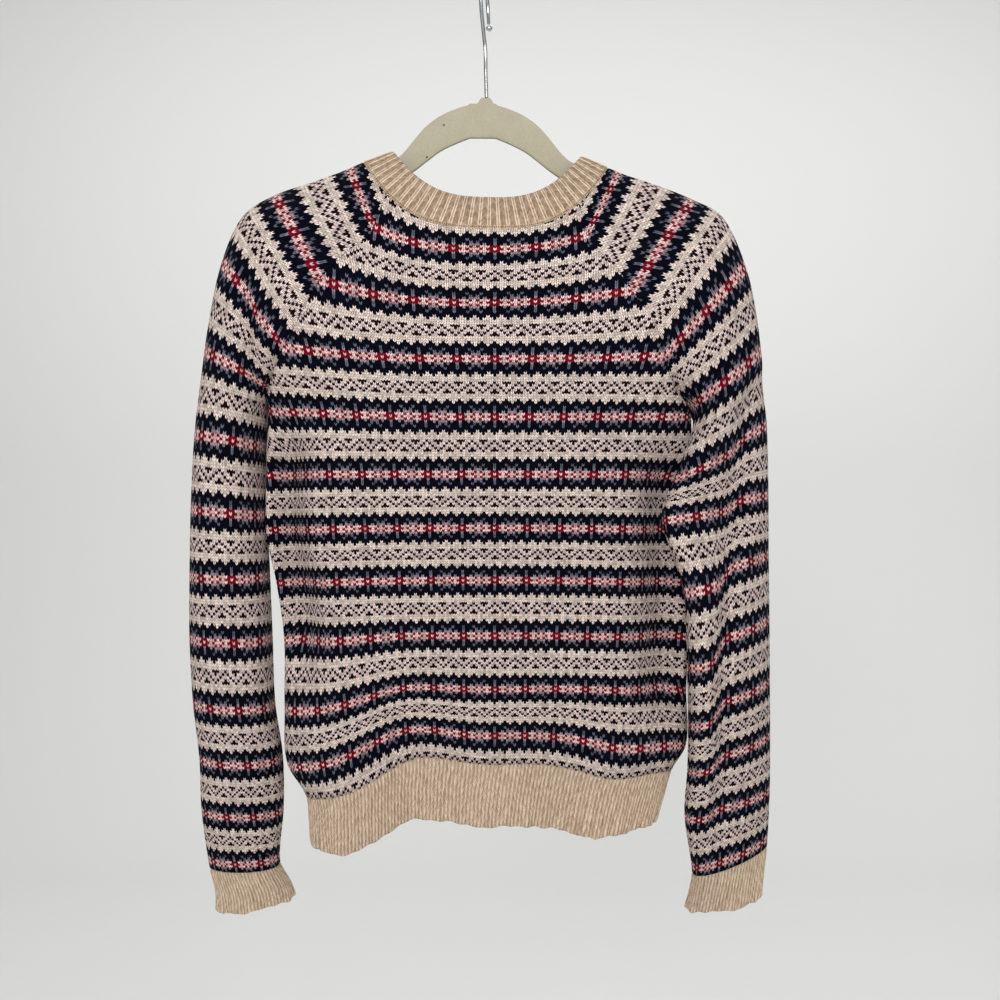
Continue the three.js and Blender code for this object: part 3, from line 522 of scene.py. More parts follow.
def newMaterial(name, surface):
    material = bpy.data.materials.new(name)
    material.use_nodes = True
    shader = material.node_tree.nodes["Principled BSDF"]
    for socket, value in surface.items():
        shader.inputs[socket].default_value = value
    return material, material.node_tree, shader


def stitchFields(tree):
    node = tree.nodes.new("ShaderNodeUVMap")
    node.uv_map = "stitches"
    parts = tree.nodes.new("ShaderNodeSeparateXYZ")
    tree.links.new(node.outputs[0], parts.inputs[0])
    return Field(tree, parts.outputs[0]), Field(tree, parts.outputs[1])


def noise(tree, vector, scale, detail=2):
    node = tree.nodes.new("ShaderNodeTexNoise")
    node.inputs["Scale"].default_value = scale
    node.inputs["Detail"].default_value = detail
    tree.links.new(vector.socket, node.inputs["Vector"])
    return Field(tree, node.outputs["Fac"])


def perStitch(tree, vector):
    node = tree.nodes.new("ShaderNodeTexWhiteNoise")
    node.noise_dimensions = "2D"
    tree.links.new(vector.socket, node.inputs["Vector"])
    return Field(tree, node.outputs["Value"])


def objectPlace(tree):
    node = tree.nodes.new("ShaderNodeTexCoord")
    return Field(tree, node.outputs["Object"])


def mixColours(tree, share, low, high, blend="MIX"):
    node = tree.nodes.new("ShaderNodeMix")
    node.data_type = "RGBA"
    node.blend_type = blend
    for socket, value in ((node.inputs[0], share), (node.inputs[6], low), (node.inputs[7], high)):
        if isinstance(value, Field):
            tree.links.new(value.socket, socket)
        elif isinstance(value, (int, float)):
            socket.default_value = value
        else:
            socket.default_value = (*value, 1)
    return Field(tree, node.outputs[2])


def mixFields(low, high, share):
    return low + (high - low) * share


# One number as a grey colour, so it can multiply another colour
def darken(tree, colour, amount):
    return mixColours(tree, 1.0, colour, amount.vector(amount, amount), "MULTIPLY")


def bump(tree, shader, height, distance):
    node = tree.nodes.new("ShaderNodeBump")
    node.inputs["Strength"].default_value = 1
    node.inputs["Distance"].default_value = distance * metres
    tree.links.new(height.socket, node.inputs["Height"])
    tree.links.new(node.outputs[0], shader.inputs["Normal"])


# The pattern: 24 rows, each with a ground yarn, a figure yarn and the columns that show it
yarns = {
    "navy": "#080b1b", "cream": "#f8e4da", "pink": "#ffd4d0", "red": "#860c24", "mist": "#656979",
    "blush": "#a5919a", "wine": "#1c0b11", "ivory": "#f6e3d6", "rose": "#f2dbd5",
}
chart = [
    ("pink", "red", ".##.#...#.##"),
    ("pink", "red", "##...#.#...#"),
    ("navy", "blush", "#..#.###.#.."),
    ("navy", "mist", "#....#.#...."),
    ("navy", "mist", "#..."),
    ("navy", "navy", "...."),
    ("navy", "cream", "..#."),
    ("cream", "navy", "#..."),
    ("ivory", "ivory", "...."),
    ("ivory", "ivory", "...."),
    ("rose", "wine", "#..###.."),
    ("rose", "wine", ".#..#..#"),
    ("rose", "wine", "..#...#."),
    ("rose", "wine", "#..#.#.."),
    ("rose", "wine", "##..#..#"),
]
chart += [chart[24 - row] for row in range(len(chart), 24)]
wool = {"Roughness": 0.97, "Specular IOR Level": 0.05}
knitLook = {
    "slant": 0.66, "legRound": 0.9, "rowPinch": 0.8, "gapShade": 0.1, "unevenness": 0.6, "wobble": 0.7,
    "heather": 0.6, "cloudiness": 0.12, "swayScale": 95, "liftScale": 120, "cloudScale": 22,
    "fibreStretch": (5, 2.2), "fibreScale": 2, "fibreBump": 0.25,
    "bumpDepth": 1.0,
}


# A stepped ramp: one flat colour for each chart row
def steppedRamp(tree, place, colours):
    node = tree.nodes.new("ShaderNodeValToRGB")
    ramp = node.color_ramp
    ramp.interpolation = "CONSTANT"
    while len(ramp.elements) < len(colours):
        ramp.elements.new(1)
    for index, colour in enumerate(colours):
        ramp.elements[index].position = index / len(colours)
        ramp.elements[index].color = (*colour, 1)
    tree.links.new(place.socket, node.inputs[0])
    return Field(tree, node.outputs[0])


# Which columns show the figure yarn: three bytes of eight columns, kept in a ramp's three channels
def figureBytes(pattern):
    repeated = (pattern * 24)[:24]
    return [sum(1 << bit for bit in range(8) if repeated[8 * part + bit] == "#") / 255 for part in range(3)]


# Stockinette: each stitch is a V of two round legs, so its row bends up towards the stitch's sides
def stitchShape(look, across, down):
    shifted = across + 0.5
    column = shifted.floor()
    fromMiddle = shifted - column - 0.5
    bent = down + 0.5 + (fromMiddle.size() * 2 - 0.5) * look["slant"]
    row = bent.floor()
    fall = bent - row
    leg = (fromMiddle.size() - 0.25) * 4
    roundness = (leg * leg * -1 + 1).math("MAXIMUM", 0.0).math("POWER", look["legRound"])
    pinch = (fall * 2 - 1).size().math("POWER", 3.0) * -look["rowPinch"] + 1
    return column, row, fall, roundness * pinch


def chartFields(tree, column, row):
    place = (row.over(24.0) + 0.5) / 24
    ground = steppedRamp(tree, place, [linear(yarns[line[0]]) for line in chart])
    figure = steppedRamp(tree, place, [linear(yarns[line[1]]) for line in chart])
    masks = steppedRamp(tree, place, [figureBytes(line[2]) for line in chart])
    parts = tree.nodes.new("ShaderNodeSeparateColor")
    tree.links.new(masks.socket, parts.inputs[0])
    inRepeat = column.over(24.0)
    part = (inRepeat / 8).floor()
    byte = None
    for index in range(3):
        here = Field(tree, parts.outputs[index]) * part.isAbout(float(index))
        byte = here if byte is None else byte + here
    # The column's bit: the byte over two to the power of its place, odd or even
    node = tree.nodes.new("ShaderNodeMath")
    node.operation = "POWER"
    node.inputs[0].default_value = 2.0
    tree.links.new((inRepeat - part * 8).socket, node.inputs[1])
    whole = (byte * 255 + 0.5).floor()
    isFigure = (whole / Field(tree, node.outputs[0]) + 0.001).floor().over(2.0)
    return ground, figure, isFigure


def fairIsleMaterial(name, isInside):
    look = knitLook
    material, tree, shader = newMaterial(name, wool)
    across, down = stitchFields(tree)
    # Hand-made unevenness: the stitches sway a little to the sides and up and down
    place = objectPlace(tree)
    sway = noise(tree, place, look["swayScale"])
    lift = noise(tree, place, look["liftScale"])
    across = across + (sway - 0.5) * look["wobble"]
    down = down + (lift - 0.5) * look["wobble"]
    column, row, fall, height = stitchShape(look, across, down)
    ground, figure, isFigure = chartFields(tree, column, row)
    if isInside:
        # The inside shows the other yarn too, as a float across the lower half of each stitch
        isFigure = (isFigure - fall.ranged(0.45, 0.55)).size()
        height = (fall * 2).over(1.0).ranged(0, 0.5) * (fall * 2).over(1.0).ranged(1, 0.5)
    colour = mixColours(tree, isFigure, ground, figure)
    stitch = perStitch(tree, column.vector(row))
    wide, tall = look["fibreStretch"]
    fibres = noise(tree, (across * wide).vector(down * tall), look["fibreScale"], 3)
    cloud = noise(tree, place, look["cloudScale"])
    bright = ((stitch - 0.5) * look["unevenness"] + (fibres - 0.5) * look["heather"]
              + (cloud - 0.5) * look["cloudiness"] + 1)
    shade = height.ranged(0, 0.75, look["gapShade"], 1.0)
    colour = darken(tree, colour, bright * shade)
    tree.links.new(colour.socket, shader.inputs["Base Color"])
    bump(tree, shader, height + fibres * look["fibreBump"], look["bumpDepth"])
    return material


ribLook = {
    "light": "#e9d3ba", "dark": "#967a61", "neckLight": "#f0d9be", "neckDark": "#a3866c",
    "rowPinch": 0.5, "bumpDepth": 0.6,
    "linkRows": 1.3, "holeRow": 0.6, "rowLean": 4, "beadStretch": (2, 1.6), "beadScale": 2.2,
    "rowsPerKnitRow": 1.15,
}


# Marled rib: the stitch map counts stitches across and knit rows down. In each pitch two legs stand up at
# the middle, pale with a painted highlight and with painted shade between them; the rest is sunk, darkened
# by painted shade and speckled by its purl bumps.
def ribMaterial(name, light, dark, rib, lastRow=None):
    look = ribLook
    material, tree, shader = newMaterial(name, wool)
    across, down = stitchFields(tree)
    inRib = ((across + 0.5) / rib["stitches"]).over(1.0)
    fromMiddle = (inRib - 0.5).size()
    bent = down + fromMiddle * look["rowLean"]
    row = bent.floor()
    pinch = ((bent - row) * 2 - 1).size().math("POWER", 3.0) * -look["rowPinch"] + 1
    fromLeg = (fromMiddle - rib["legPlace"]).size()
    legs = fromLeg.ranged(rib["legHalf"] * 0.4, rib["legHalf"] * 1.6, 1.0, 0.0) * pinch
    sunk = fromMiddle.ranged(rib["raised"] / 2 - 0.04, rib["raised"] / 2 + 0.06)
    stitch = perStitch(tree, (across + 0.5).floor().vector(row))
    twist = noise(tree, across.vector(down * 0.5), rib["twistScale"], 3)
    # Purl bumps: small round beads in the sunk part
    wide, tall = look["beadStretch"]
    beads = noise(tree, (across * wide).vector(down * tall), look["beadScale"]).ranged(0.35, 0.65)
    # Painted shade: the sunk part and the gaps between the legs are darkened
    shade = mixFields(legs.ranged(0, 0.8, rib["legShade"], 1.0), beads * 0.3 + rib["valleyShade"], sunk)
    if lastRow:
        # The linking rows at the seam have no ribs, only a row of small holes. These rows get an even
        # painted shade, and the holes are painted dark as the shade inside them
        link = down.ranged(lastRow - look["linkRows"] - 0.3, lastRow - look["linkRows"])
        shade = mixFields(shade, beads * 0.25 + 0.7, link)
        holes = (down - (lastRow - look["holeRow"])).size().ranged(0.15, 0.4, 1.0, 0.0)
        inStitch = ((across * 1.5).over(1.0) - 0.5).size().ranged(0.15, 0.35, 1.0, 0.0)
        shade = shade * (holes * inStitch * -0.7 + 1)
    # Painted highlight: the raised legs are mixed towards the light yarn
    marl = ((stitch - 0.5) * rib["unevenness"] + (twist - 0.5) * rib["twist"] + legs * rib["legHighlight"]
            + rib["paleness"])
    colour = mixColours(tree, marl.math("MINIMUM", 1.0).math("MAXIMUM", 0.0), linear(dark), linear(light))
    tree.links.new(darken(tree, colour, shade).socket, shader.inputs["Base Color"])
    bump(tree, shader, mixFields(legs, beads * 0.6, sunk), look["bumpDepth"])
    return material


knitOutside = fairIsleMaterial("fairIsleKnit", False)
knitInside = fairIsleMaterial("fairIsleInside", True)
hemRib = {
    "stitches": 2, "raised": 0.66, "lift": 0.75, "legPlace": 0.12, "legHalf": 0.15, "legShade": 0.8,
    "valleyShade": 0.57, "twistScale": 3.4, "twist": 1.1, "unevenness": 0.6, "legHighlight": 0,
    "paleness": 0.55,
}
neckRib = {
    "stitches": 3, "raised": 0.46, "lift": 0.9, "legPlace": 0.15, "legHalf": 0.062, "legShade": 0.62,
    "valleyShade": 0.5, "twistScale": 3.2, "twist": 0.8, "unevenness": 0.5, "legHighlight": 0.42,
    "paleness": 0.35,
}
neckbandLook = {"ribs": 73, "height": 27, "rowHeight": 2.1, "foldRadius": 1.5, "seamRound": 1.2,
                "wallShare": 0.62, "sink": 0.1, "innerLift": 0.5, "fade": 2.5}
hemLook = {"ribs": (110, 113), "height": 54, "edgeRadius": 1.2}  # front, back
cuffLook = {"ribs": 60, "height": 42, "edgeRadius": 1.2}
hemKnit = ribMaterial("marledRib", ribLook["light"], ribLook["dark"], hemRib)
neckKnit = ribMaterial("marledNeckRib", ribLook["neckLight"], ribLook["neckDark"], neckRib,
                       neckbandLook["height"] / neckbandLook["rowHeight"])
print("knit materials made")


# Body panels and sleeves: how many steps each sheet has
fineness = {"bodyAcross": 132, "bodyLines": 150, "sleeveAcross": 104, "sleeveLines": 190, "raglanSteps": 6,
            "ribRows": 18, "ribCells": 8}
seamLines = lastRaglanLine * fineness["raglanSteps"]
stitchWidth = bandTable("row body sleeve", [
    (-12, 3.0, 2.9), (24, 2.92, 2.75), (48, 2.67, 2.6), (72, 2.45, 2.45), (96, 2.35, 2.4),
    (144, 2.25, 2.25), (204, 2.14, 2.0), (268, 2.1, 1.8),
])
seamRound = 2.2  # how wide the wall rounds off at a seam
flowerColumnX = 9  # the body's middle flower column stands a little to the right


# Lines of a sheet: raglan steps down to the underarm, then even ones down to the rib
def linesDown(lowRows, count):
    upper = np.linspace(0, lastRaglanLine, seamLines + 1)
    lower = np.linspace(0, lowRows, count - seamLines)[1:]
    return np.concatenate([upper, upper[-1] + lower])


# Even places with three closer ones at each end, where the wall rounds off into the seam
def closeAtEnds(first, last, count):
    shares = np.linspace(0, 1, count + 1)
    near = np.array([0.12, 0.35, 0.65]) / count
    return mix(first, last, np.unique(np.concatenate([shares, near, 1 - near])))


def panelSheet(isBack):
    lines = linesDown(cut["hemRows"][0] - cut["underarmRow"], fineness["bodyLines"])
    line, place = np.meshgrid(lines, closeAtEnds(-1, 1, fineness["bodyAcross"]), indexing="ij")
    return panelPoint(isBack, line, place)


def sleeveSheet(side):
    lines = linesDown(cut["cuffRows"][0] - cut["underarmRows"][side], fineness["sleeveLines"])
    line, turn = np.meshgrid(lines, closeAtEnds(0, 1, fineness["sleeveAcross"]), indexing="ij")
    return sleeveSheetPoint(side, line, turn)


# Stitches across: the length along the row from the flower column, over the width of a stitch there
def stitchesAcross(middle, knitRow, startX, kind):
    length = lengthsAlong(middle, 1)
    if startX is None:
        origin = length[:, middle.shape[1] // 2]
    else:
        origin = np.array([np.interp(startX, xs, run) for xs, run in zip(middle[..., 0], length)])
    return (length - origin[:, None]) / valueAt(stitchWidth, kind, knitRow)


sheets = {"body_back": panelSheet(True), "body_front": panelSheet(False),
          "sleeve_left": sleeveSheet(0), "sleeve_right": sleeveSheet(1)}
facing = {"body_back": -1, "body_front": 1, "sleeve_left": 1, "sleeve_right": -1}
normals = {name: surfaceNormals(sheet[0], False) * facing[name] for name, sheet in sheets.items()}


# Two edges of one seam share the mean of their normals
def shareSeam(one, other):
    one[:] = other[:] = unit(one + other)


for sleeve, bodyEdge in (("sleeve_left", 0), ("sleeve_right", -1)):
    for panel, sleeveEdge in (("body_back", 0), ("body_front", -1)):
        shareSeam(normals[panel][:seamLines, bodyEdge], normals[sleeve][:seamLines, sleeveEdge])
    shareSeam(normals[sleeve][seamLines + 1:, 0], normals[sleeve][seamLines + 1:, -1])
for edge in (0, -1):
    shareSeam(normals["body_back"][seamLines + 1:, edge], normals["body_front"][seamLines + 1:, edge])


def declareCloth(name):
    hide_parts(name)


for name, (middle, knitRow) in sheets.items():
    isBody = name.startswith("body")
    kind, startX = ("body", flowerColumnX) if isBody else ("sleeve", None)
    columns = stitchesAcross(middle, knitRow, startX, kind)
    knitUv = np.stack([columns, knitRow], axis=-1)
    length = lengthsAlong(middle, 1)
    toSeam = np.minimum(np.minimum(length, length[:, -1:] - length), lengthsAlong(middle, 0) + 0.3)
    piece = clothMesh(name + "_knit", middle, normals[name], cut["knitWall"], knitUv,
                      [knitOutside, knitInside], thickness=roundedEdge(toSeam, seamRound))
    declareCloth(name)
print("panels and sleeves made")


# Rib relief: a raised band with soft shoulders in each pitch, counted along the edge
def ribRelief(ribs, rib):
    inRib = np.abs(ribs % 1 - 0.5)
    raised = 1 - ease((inRib - rib["raised"] / 2 + 0.08) / 0.2)
    return raised * rib["lift"]


# Rows of a rib with a rounded free edge: even rows, then closer ones near the edge
def ribRows(first, last, height, radius, isRounded=(False, True)):
    share = np.linspace(0, 1, fineness["ribRows"])
    near = radius / height * np.array([0, 0.08, 0.3, 0.6])
    extra = [near if isRounded[0] else [], 1 - near if isRounded[1] else []]
    return mix(first, last, np.unique(np.concatenate([share, *extra])))


def hemSheet(isBack):
    ribs = hemLook["ribs"][isBack]
    rows = ribRows(*cut["hemRows"], hemLook["height"], hemLook["edgeRadius"])
    across = np.linspace(-1, 1, ribs * fineness["ribCells"] + 1)
    row, place = np.meshgrid(rows, across, indexing="ij")
    return bodyPoint(isBack, row, place), row, ribs


def cuffSheet(side):
    ribs = cuffLook["ribs"]
    rows = ribRows(*cut["cuffRows"], cuffLook["height"], cuffLook["edgeRadius"])
    turns = np.linspace(0, 1, ribs * fineness["ribCells"] + 1)
    row, turn = np.meshgrid(rows, turns, indexing="ij")
    return sleevePoint(side, row, turn), row, ribs


ripple = {"height": 1.0, "depth": 1.8, "waves": ((0.21, 0.4), (0.127, 1.9), (0.071, 4.1)), "power": 2.5,
          "shiftShare": 7}


# Free edges of the ribs curl in and out in short waves that die away towards the seam
def rippled(middle, counted, normal, share, look):
    wave = sum(np.sin(counted[-1] * rate * 2 * np.pi + turn) for rate, turn in look["waves"]) / 2
    grown = share[:, None] ** look["power"]
    low = np.array([0.0, 0, 1]) * (wave * look["height"] * grown)[..., None]
    other = np.roll(wave, len(wave) // look["shiftShare"])
    return middle + low + normal * (other * look["depth"] * grown)[..., None]


# Ribs are even in length round the edge
def ribPiece(name, sheet, rib, isRing, side):
    middle, row, ribs = sheet
    length = lengthsAlong(middle, 1)
    counted = length / length[:, -1:] * ribs
    share = (row[:, 0] - row[0, 0]) / (row[-1, 0] - row[0, 0])
    if isRing:  # whole waves round a ring
        waves = tuple((round(rate * ribs) / ribs, turn) for rate, turn in ripple["waves"])
        look = {**ripple, "waves": waves}
    else:
        look = ripple
    middle = rippled(middle, counted, surfaceNormals(middle, isRing) * side, share, look)
    down = lengthsAlong(middle, 0)
    toEdge = down[-1:] - down
    grown = ease(down / 4) * ease(toEdge / 1.5 + 0.2)
    thickness = roundedEdge(toEdge, cut["ribWall"] / 2)
    normal = surfaceNormals(middle, isRing) * side
    # Raised ribs stand out and sunk ones stand in on the other face
    lift = ribRelief(counted, rib) * grown
    sunk = (rib["lift"] - ribRelief(counted, rib)) * grown
    knitUv = np.stack([counted * rib["stitches"] - 0.5, row * ribLook["rowsPerKnitRow"]], axis=-1)
    base = thickness * (cut["ribWall"] - rib["lift"]) / cut["ribWall"]
    piece = clothMesh(name + "_knit", middle, normal, cut["ribWall"], knitUv, [hemKnit, hemKnit], isRing,
                      relief=lift - rib["lift"] / 2, innerRelief=sunk - rib["lift"] / 2, thickness=base)
    declareCloth(name)


ribPiece("hem_rib_back", hemSheet(True), hemRib, False, -1)
ribPiece("hem_rib_front", hemSheet(False), hemRib, False, 1)
ribPiece("cuff_left", cuffSheet(0), hemRib, True, 1)
ribPiece("cuff_right", cuffSheet(1), hemRib, True, -1)


# Even steps round the neck seam: each one's place from -1 to 1, and whether it is on the back
def neckLoop(count):
    dense = np.linspace(-1, 1, 4001)
    across = np.concatenate([dense, dense[::-1][1:]])
    isBack = np.concatenate([np.ones(4001, bool), np.zeros(4000, bool)])
    loop = neckPoint(neckSeam, isBack, across)
    length = np.concatenate([[0], np.cumsum(np.linalg.norm(np.diff(loop, axis=0), axis=1))])
    wanted = np.linspace(0, length[-1], count)
    turn = np.interp(wanted, length, np.linspace(0, 4, len(across)))
    return np.where(turn <= 2, turn - 1, 3 - turn), turn <= 2


# Neckband: a folded rib, its outer face from the fold down to the seam
def makeNeckband(look):
    count = look["ribs"] * fineness["ribCells"] + 1
    across, isBack = neckLoop(count)
    share = ribRows(0, 1, look["height"], look["foldRadius"], (True, True))
    top = neckPoint(neckTop, isBack, across)
    seam = neckPoint(neckSeam, isBack, across)
    middle = mix(top[None], seam[None], share[:, None, None])
    ribs = np.broadcast_to(np.linspace(0, look["ribs"], count), middle.shape[:2])
    down = lengthsAlong(middle, 0)
    toSeam = down[-1:] - down
    thickness = roundedEdge(down, look["foldRadius"]) * roundedEdge(toSeam + 0.3, look["seamRound"])
    lift = ribRelief(ribs, neckRib) * ease(down / look["fade"]) * ease(toSeam / look["fade"])
    normal = surfaceNormals(middle, True) * -1
    row = share[:, None] * look["height"] / look["rowHeight"] + 0 * ribs
    knitUv = np.stack([ribs * neckRib["stitches"] - 0.5, row], axis=-1)
    piece = clothMesh("neckband_knit", middle, normal, cut["ribWall"], knitUv, [neckKnit, neckKnit], True,
                      relief=lift - look["sink"], innerRelief=lift * look["innerLift"],
                      thickness=thickness * look["wallShare"])
    declareCloth("neckband")


makeNeckband(neckbandLook)
print("ribs and neckband made")

# The hanger's arms: heights of the top and bottom edges at each distance from the middle
arms = bandTable("row top bottom", [
    (12, -106.5, -136.8), (24, -110.3, -141.6), (38, -116.7, -148.6), (50, -125.5, -157.5),
    (60, -136.5, -165.4), (70, -149, -172), (80, -157.5, -177.5), (95, -161.5, -181),
    (107, -164.5, -183.5), (122, -170, -189), (137, -177.5, -196.5), (152, -182.8, -202.5),
    (167, -189, -209), (184, -195.8, -215.5), (199, -203.8, -222.5), (208, -211, -226), (213, -217, -224),
])
hangerLook = {
    "ends": (-215, 211), "middleX": -2, "slope": -0.01, "halfThickness": 2.5, "stations": 240, "sides": 24,
    "bossHalf": (4, 7.4, 12), "bossX": 0.5, "bossTop": (-100, 5.4), "middleEdges": (-106.5, -136.5),
    "tipStart": 209.5, "tipLength": 3.5, "colour": "#a39d89", "squareness": 5,
    "grain": ((1300, 2, 0.3), (420, 2, 0.22), (60, 3, 0.16)), "bumpDepth": 0.35,
    "specks": [(-36.9, -2.5, -125.2), (-52.2, -2.5, -154)], "speckRadii": (0.0006, 0.0013),
    "surface": {"Roughness": 0.95, "Sheen Weight": 0.12, "Sheen Roughness": 0.4, "Specular IOR Level": 0.15},
}


# A closed tube through sections (count, sides, 3), with a pole at each end
def tubeMesh(name, sections, material):
    count, sides = sections.shape[:2]
    ends = np.stack([sections[0].mean(axis=0), sections[-1].mean(axis=0)])
    vertices = np.concatenate([sections.reshape(-1, 3), ends]) * metres
    ids = np.arange(count * sides).reshape(count, sides)
    ids = np.concatenate([ids, ids[:, :1]], axis=1)
    quads = np.stack([ids[:-1, :-1], ids[1:, :-1], ids[1:, 1:], ids[:-1, 1:]], axis=-1).reshape(-1, 4)
    firstPole, lastPole = count * sides, count * sides + 1
    caps = np.concatenate([
        np.stack([ids[0, :-1], ids[0, 1:], np.full(sides, firstPole)], axis=-1),
        np.stack([ids[-1, 1:], ids[-1, :-1], np.full(sides, lastPole)], axis=-1)])
    triangles = np.concatenate([quads[:, [0, 1, 2]], quads[:, [0, 2, 3]], caps])
    a, b, c = (vertices[triangles[:, corner]] for corner in range(3))
    if np.sum(a * np.cross(b, c)) < 0:
        triangles = triangles[:, ::-1]
    return meshObject(name, vertices, triangles, np.zeros(len(triangles)), {}, [material])


# Hanger: rounded box sections, with the top and bottom heights smooth along the hanger
def makeHanger(look):
    x = np.linspace(*look["ends"], look["stations"])
    out = np.abs(x - look["middleX"])
    flatHalf, slopeHalf, bossHalf = look["bossHalf"]
    top, bottom = (np.where(out > bossHalf, valueAt(arms, name, out), height) + look["slope"] * x
                   for name, height in zip(("top", "bottom"), look["middleEdges"]))
    bossHeight, bossFall = look["bossTop"]
    bossTop = bossHeight - bossFall * ease((np.abs(x - look["bossX"]) - flatHalf) / (slopeHalf - flatHalf))
    top = np.where(out < bossHalf, np.maximum(top, bossTop), top)
    angle = np.linspace(0, 2 * np.pi, look["sides"], endpoint=False)
    power = 2 / look["squareness"]
    roundY = np.sign(np.cos(angle)) * np.abs(np.cos(angle)) ** power
    roundZ = np.sign(np.sin(angle)) * np.abs(np.sin(angle)) ** power
    tip = np.sqrt(np.clip(1 - ((out - look["tipStart"]) / look["tipLength"]).clip(0, 1) ** 2, 0.01, 1))
    sections = point(x[:, None] + 0 * angle, look["halfThickness"] * roundY * tip[:, None],
                     ((top + bottom) / 2)[:, None] + ((top - bottom) / 2)[:, None] * roundZ)
    material, tree, shader = newMaterial("hangerFlock", look["surface"])
    place = objectPlace(tree)
    flocks = [noise(tree, place, *line[:2]) for line in look["grain"]]
    fine, coarse, wear = ((flock - 0.5) * line[2] for flock, line in zip(flocks, look["grain"]))
    bright = fine + coarse + wear + 1
    for speck in look["specks"]:  # lint caught in the flock
        node = tree.nodes.new("ShaderNodeVectorMath")
        node.operation = "DISTANCE"
        tree.links.new(place.socket, node.inputs[0])
        node.inputs[1].default_value = [value * metres for value in speck]
        bright = bright * Field(tree, node.outputs["Value"]).ranged(*look["speckRadii"], 0.2, 1.0)
    colour = darken(tree, linear(look["colour"]), bright)
    tree.links.new(colour.socket, shader.inputs["Base Color"])
    bump(tree, shader, flocks[0], look["bumpDepth"])
    piece = tubeMesh("hanger_flocked", sections, material)
    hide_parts("hanger")


makeHanger(hangerLook)

hookPath = np.array([
    (1.35, 0, -99.7), (0.7, 0, -76), (0.4, -0.5, -58), (-0.9, -4.5, -46), (-3.15, -14, -25.3),
    (-3.6, -17.5, -12), (-2.6, -12.5, -2.6), (0, 0, 1.75), (1.6, 12.5, -3.4), (2.6, 17.6, -14), (3.6, 17, -29.8)], float)
hookLook = {"radius": 1.75, "ballRadius": 3, "ballSteps": 14, "poleAngle": 0.12, "sides": 20, "steps": 220,
            "surface": {"Roughness": 0.22, "Metallic": 1}, "colours": ("#a9adb3", "#d6d8da"),
            "smearScale": 90, "bumpDepth": 0.05}


# A smooth line through points: a cubic in the running length of the points' polygon
def smoothLine(points, count):
    length = np.concatenate([[0], np.cumsum(np.linalg.norm(np.diff(points, axis=0), axis=1) ** 0.5)])
    table = {"row": length, "x": points[:, 0], "y": points[:, 1], "z": points[:, 2]}
    dense = np.linspace(0, length[-1], 4000)
    line = point(*(valueAt(table, axis, dense) for axis in "xyz"))
    run = np.concatenate([[0], np.cumsum(np.linalg.norm(np.diff(line, axis=0), axis=1))])
    even = np.linspace(0, run[-1], count)
    return np.stack([np.interp(even, run, line[:, axis]) for axis in range(3)], axis=-1), run[-1]


# Hook: a round wire along the path, with a ball at its end
def makeHook(look):
    line, length = smoothLine(hookPath, look["steps"])
    along = unit(np.gradient(line, axis=0))
    run = np.linspace(0, length, look["steps"])
    neck = math.sqrt(look["ballRadius"] ** 2 - look["radius"] ** 2)
    keep = run < length - neck
    neckAngle = math.pi - math.asin(look["radius"] / look["ballRadius"])
    ballAngle = np.linspace(neckAngle, look["poleAngle"], look["ballSteps"])
    ends = line[-1] + along[-1] * (look["ballRadius"] * np.cos(ballAngle))[:, None]
    centres = np.concatenate([line[keep], ends])
    directions = np.concatenate([along[keep], np.repeat(along[-1:], look["ballSteps"], axis=0)])
    radii = np.concatenate([np.full(keep.sum(), look["radius"]), look["ballRadius"] * np.sin(ballAngle)])
    sideways = np.array([1.0, 0, 0])
    first = unit(sideways - directions * (directions @ sideways)[:, None])
    second = np.cross(directions, first)
    angle = np.linspace(0, 2 * np.pi, look["sides"], endpoint=False)
    ring = first[:, None] * np.cos(angle)[None, :, None] + second[:, None] * np.sin(angle)[None, :, None]
    sections = centres[:, None] + ring * radii[:, None, None]
    material, tree, shader = newMaterial("hookChrome", look["surface"])
    smear = noise(tree, objectPlace(tree), look["smearScale"], 3)
    colour = mixColours(tree, smear, *(linear(colour) for colour in look["colours"]))
    tree.links.new(colour.socket, shader.inputs["Base Color"])
    bump(tree, shader, smear, look["bumpDepth"])
    piece = tubeMesh("hanger_hook_wire", sections, material)
    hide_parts("hanger_hook")


makeHook(hookLook)
print("hanger and hook made")

# Studio, in metres: a pale sweep and soft light
studio = {"floorZ": -1.35, "wallY": 2.6, "wallHeight": 6, "coveRadius": 1.0, "halfWidth": 5, "front": -3.2,
          "colour": "#dcdcda", "roughness": 0.9, "worldColour": (0.86, 0.87, 0.88, 1),
          "worldStrength": 0.37}


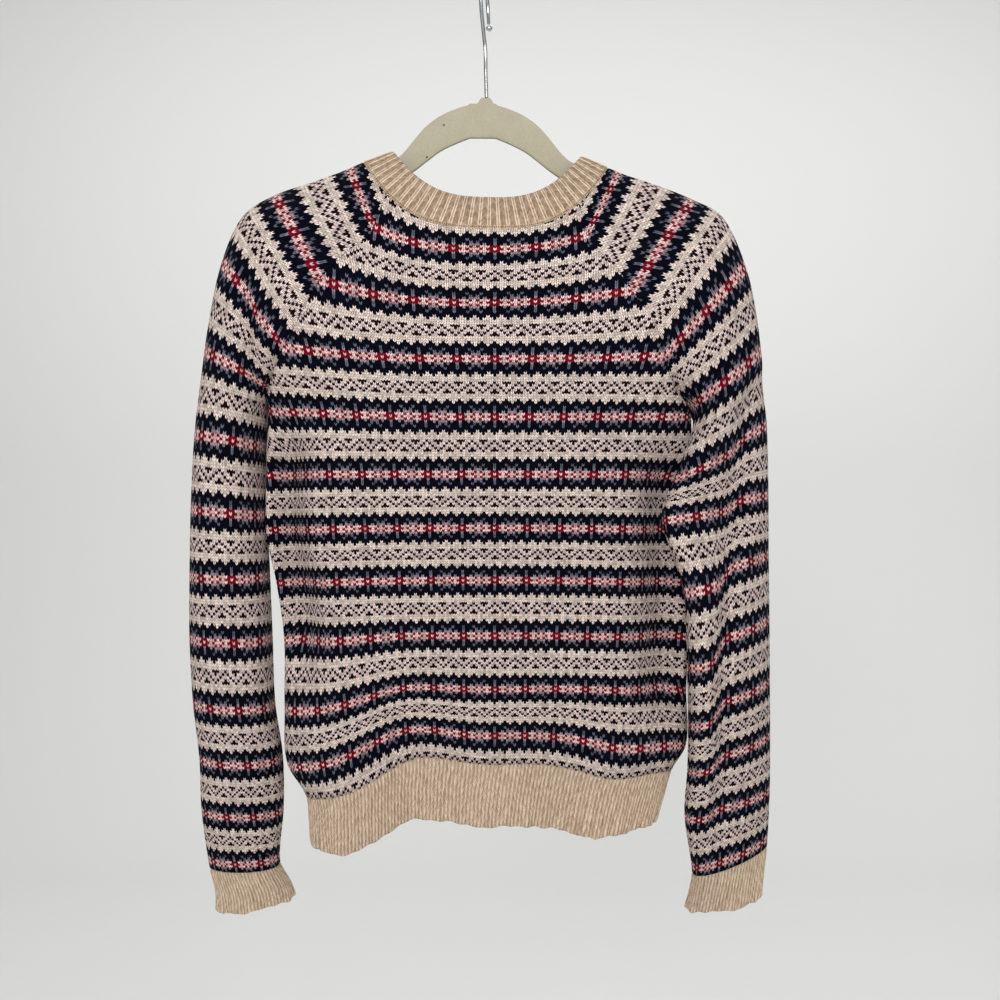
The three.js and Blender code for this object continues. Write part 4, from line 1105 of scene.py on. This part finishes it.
# A sweep: flat floor, quarter-circle cove, straight wall
def makeSweep(look):
    radius = look["coveRadius"]
    angle = np.linspace(0, np.pi / 2, 24)
    floorZ, wallY = look["floorZ"], look["wallY"]
    profile = np.concatenate([
        [(look["front"], floorZ)],
        np.stack([wallY - radius * (1 - np.sin(angle)), floorZ + radius * (1 - np.cos(angle))], axis=-1),
        [(wallY, floorZ + look["wallHeight"])]])
    sides = np.array([-look["halfWidth"], look["halfWidth"]])
    vertices = point(sides[:, None] + 0 * profile[None, :, 0], profile[None, :, 0] + 0 * sides[:, None],
                     profile[None, :, 1] + 0 * sides[:, None])
    count = len(profile)
    ids = np.arange(2 * count).reshape(2, count)
    faces = np.stack([ids[0, :-1], ids[1, :-1], ids[1, 1:], ids[0, 1:]], axis=-1)
    mesh = bpy.data.meshes.new("studioSweep")
    mesh.from_pydata(vertices.reshape(-1, 3).tolist(), [], faces.tolist())
    mesh.polygons.foreach_set("use_smooth", np.ones(len(faces), bool))
    paper = {"Roughness": look["roughness"], "Base Color": (*linear(look["colour"]), 1)}
    mesh.materials.append(newMaterial("studioPaper", paper)[0])
    sweep = bpy.data.objects.new("studioSweep", mesh)
    bpy.context.collection.objects.link(sweep)


makeSweep(studio)

lights = bandTable("x y z sizeX sizeY power aimX aimY aimZ", [
    (-0.4, -2.5, 0.1, 1.1, 1.1, 53, 0, 0, -0.45),
    (1.3, -2.3, 0.1, 1.4, 1.6, 14, 0, 0, -0.45),
    (0.1, -0.5, 1.6, 2.2, 1.2, 8, 0, 0, -0.5),
    (0.4, 0.9, 1.2, 4.5, 1.2, 40, 0.4, 2.6, -1.9),
])


def makeLights(table):
    for index, values in enumerate(zip(*table.values())):
        x, y, z, sizeX, sizeY, power, aimX, aimY, aimZ = values
        lamp = bpy.data.lights.new(f"softLight{index}", "AREA")
        lamp.shape = "RECTANGLE"
        lamp.size, lamp.size_y, lamp.energy = sizeX, sizeY, power
        holder = bpy.data.objects.new(f"softLight{index}", lamp)
        holder.location = (x, y, z)
        aim = Vector((aimX - x, aimY - y, aimZ - z))
        holder.rotation_euler = aim.to_track_quat("-Z", "Y").to_euler()
        bpy.context.collection.objects.link(holder)
    world = bpy.data.worlds.new("studioWorld")
    world.use_nodes = True
    background = world.node_tree.nodes["Background"]
    background.inputs[0].default_value = studio["worldColour"]
    background.inputs[1].default_value = studio["worldStrength"]
    bpy.context.scene.world = world
    bpy.context.scene.view_settings.view_transform = "Standard"


makeLights(lights)
print("studio made")
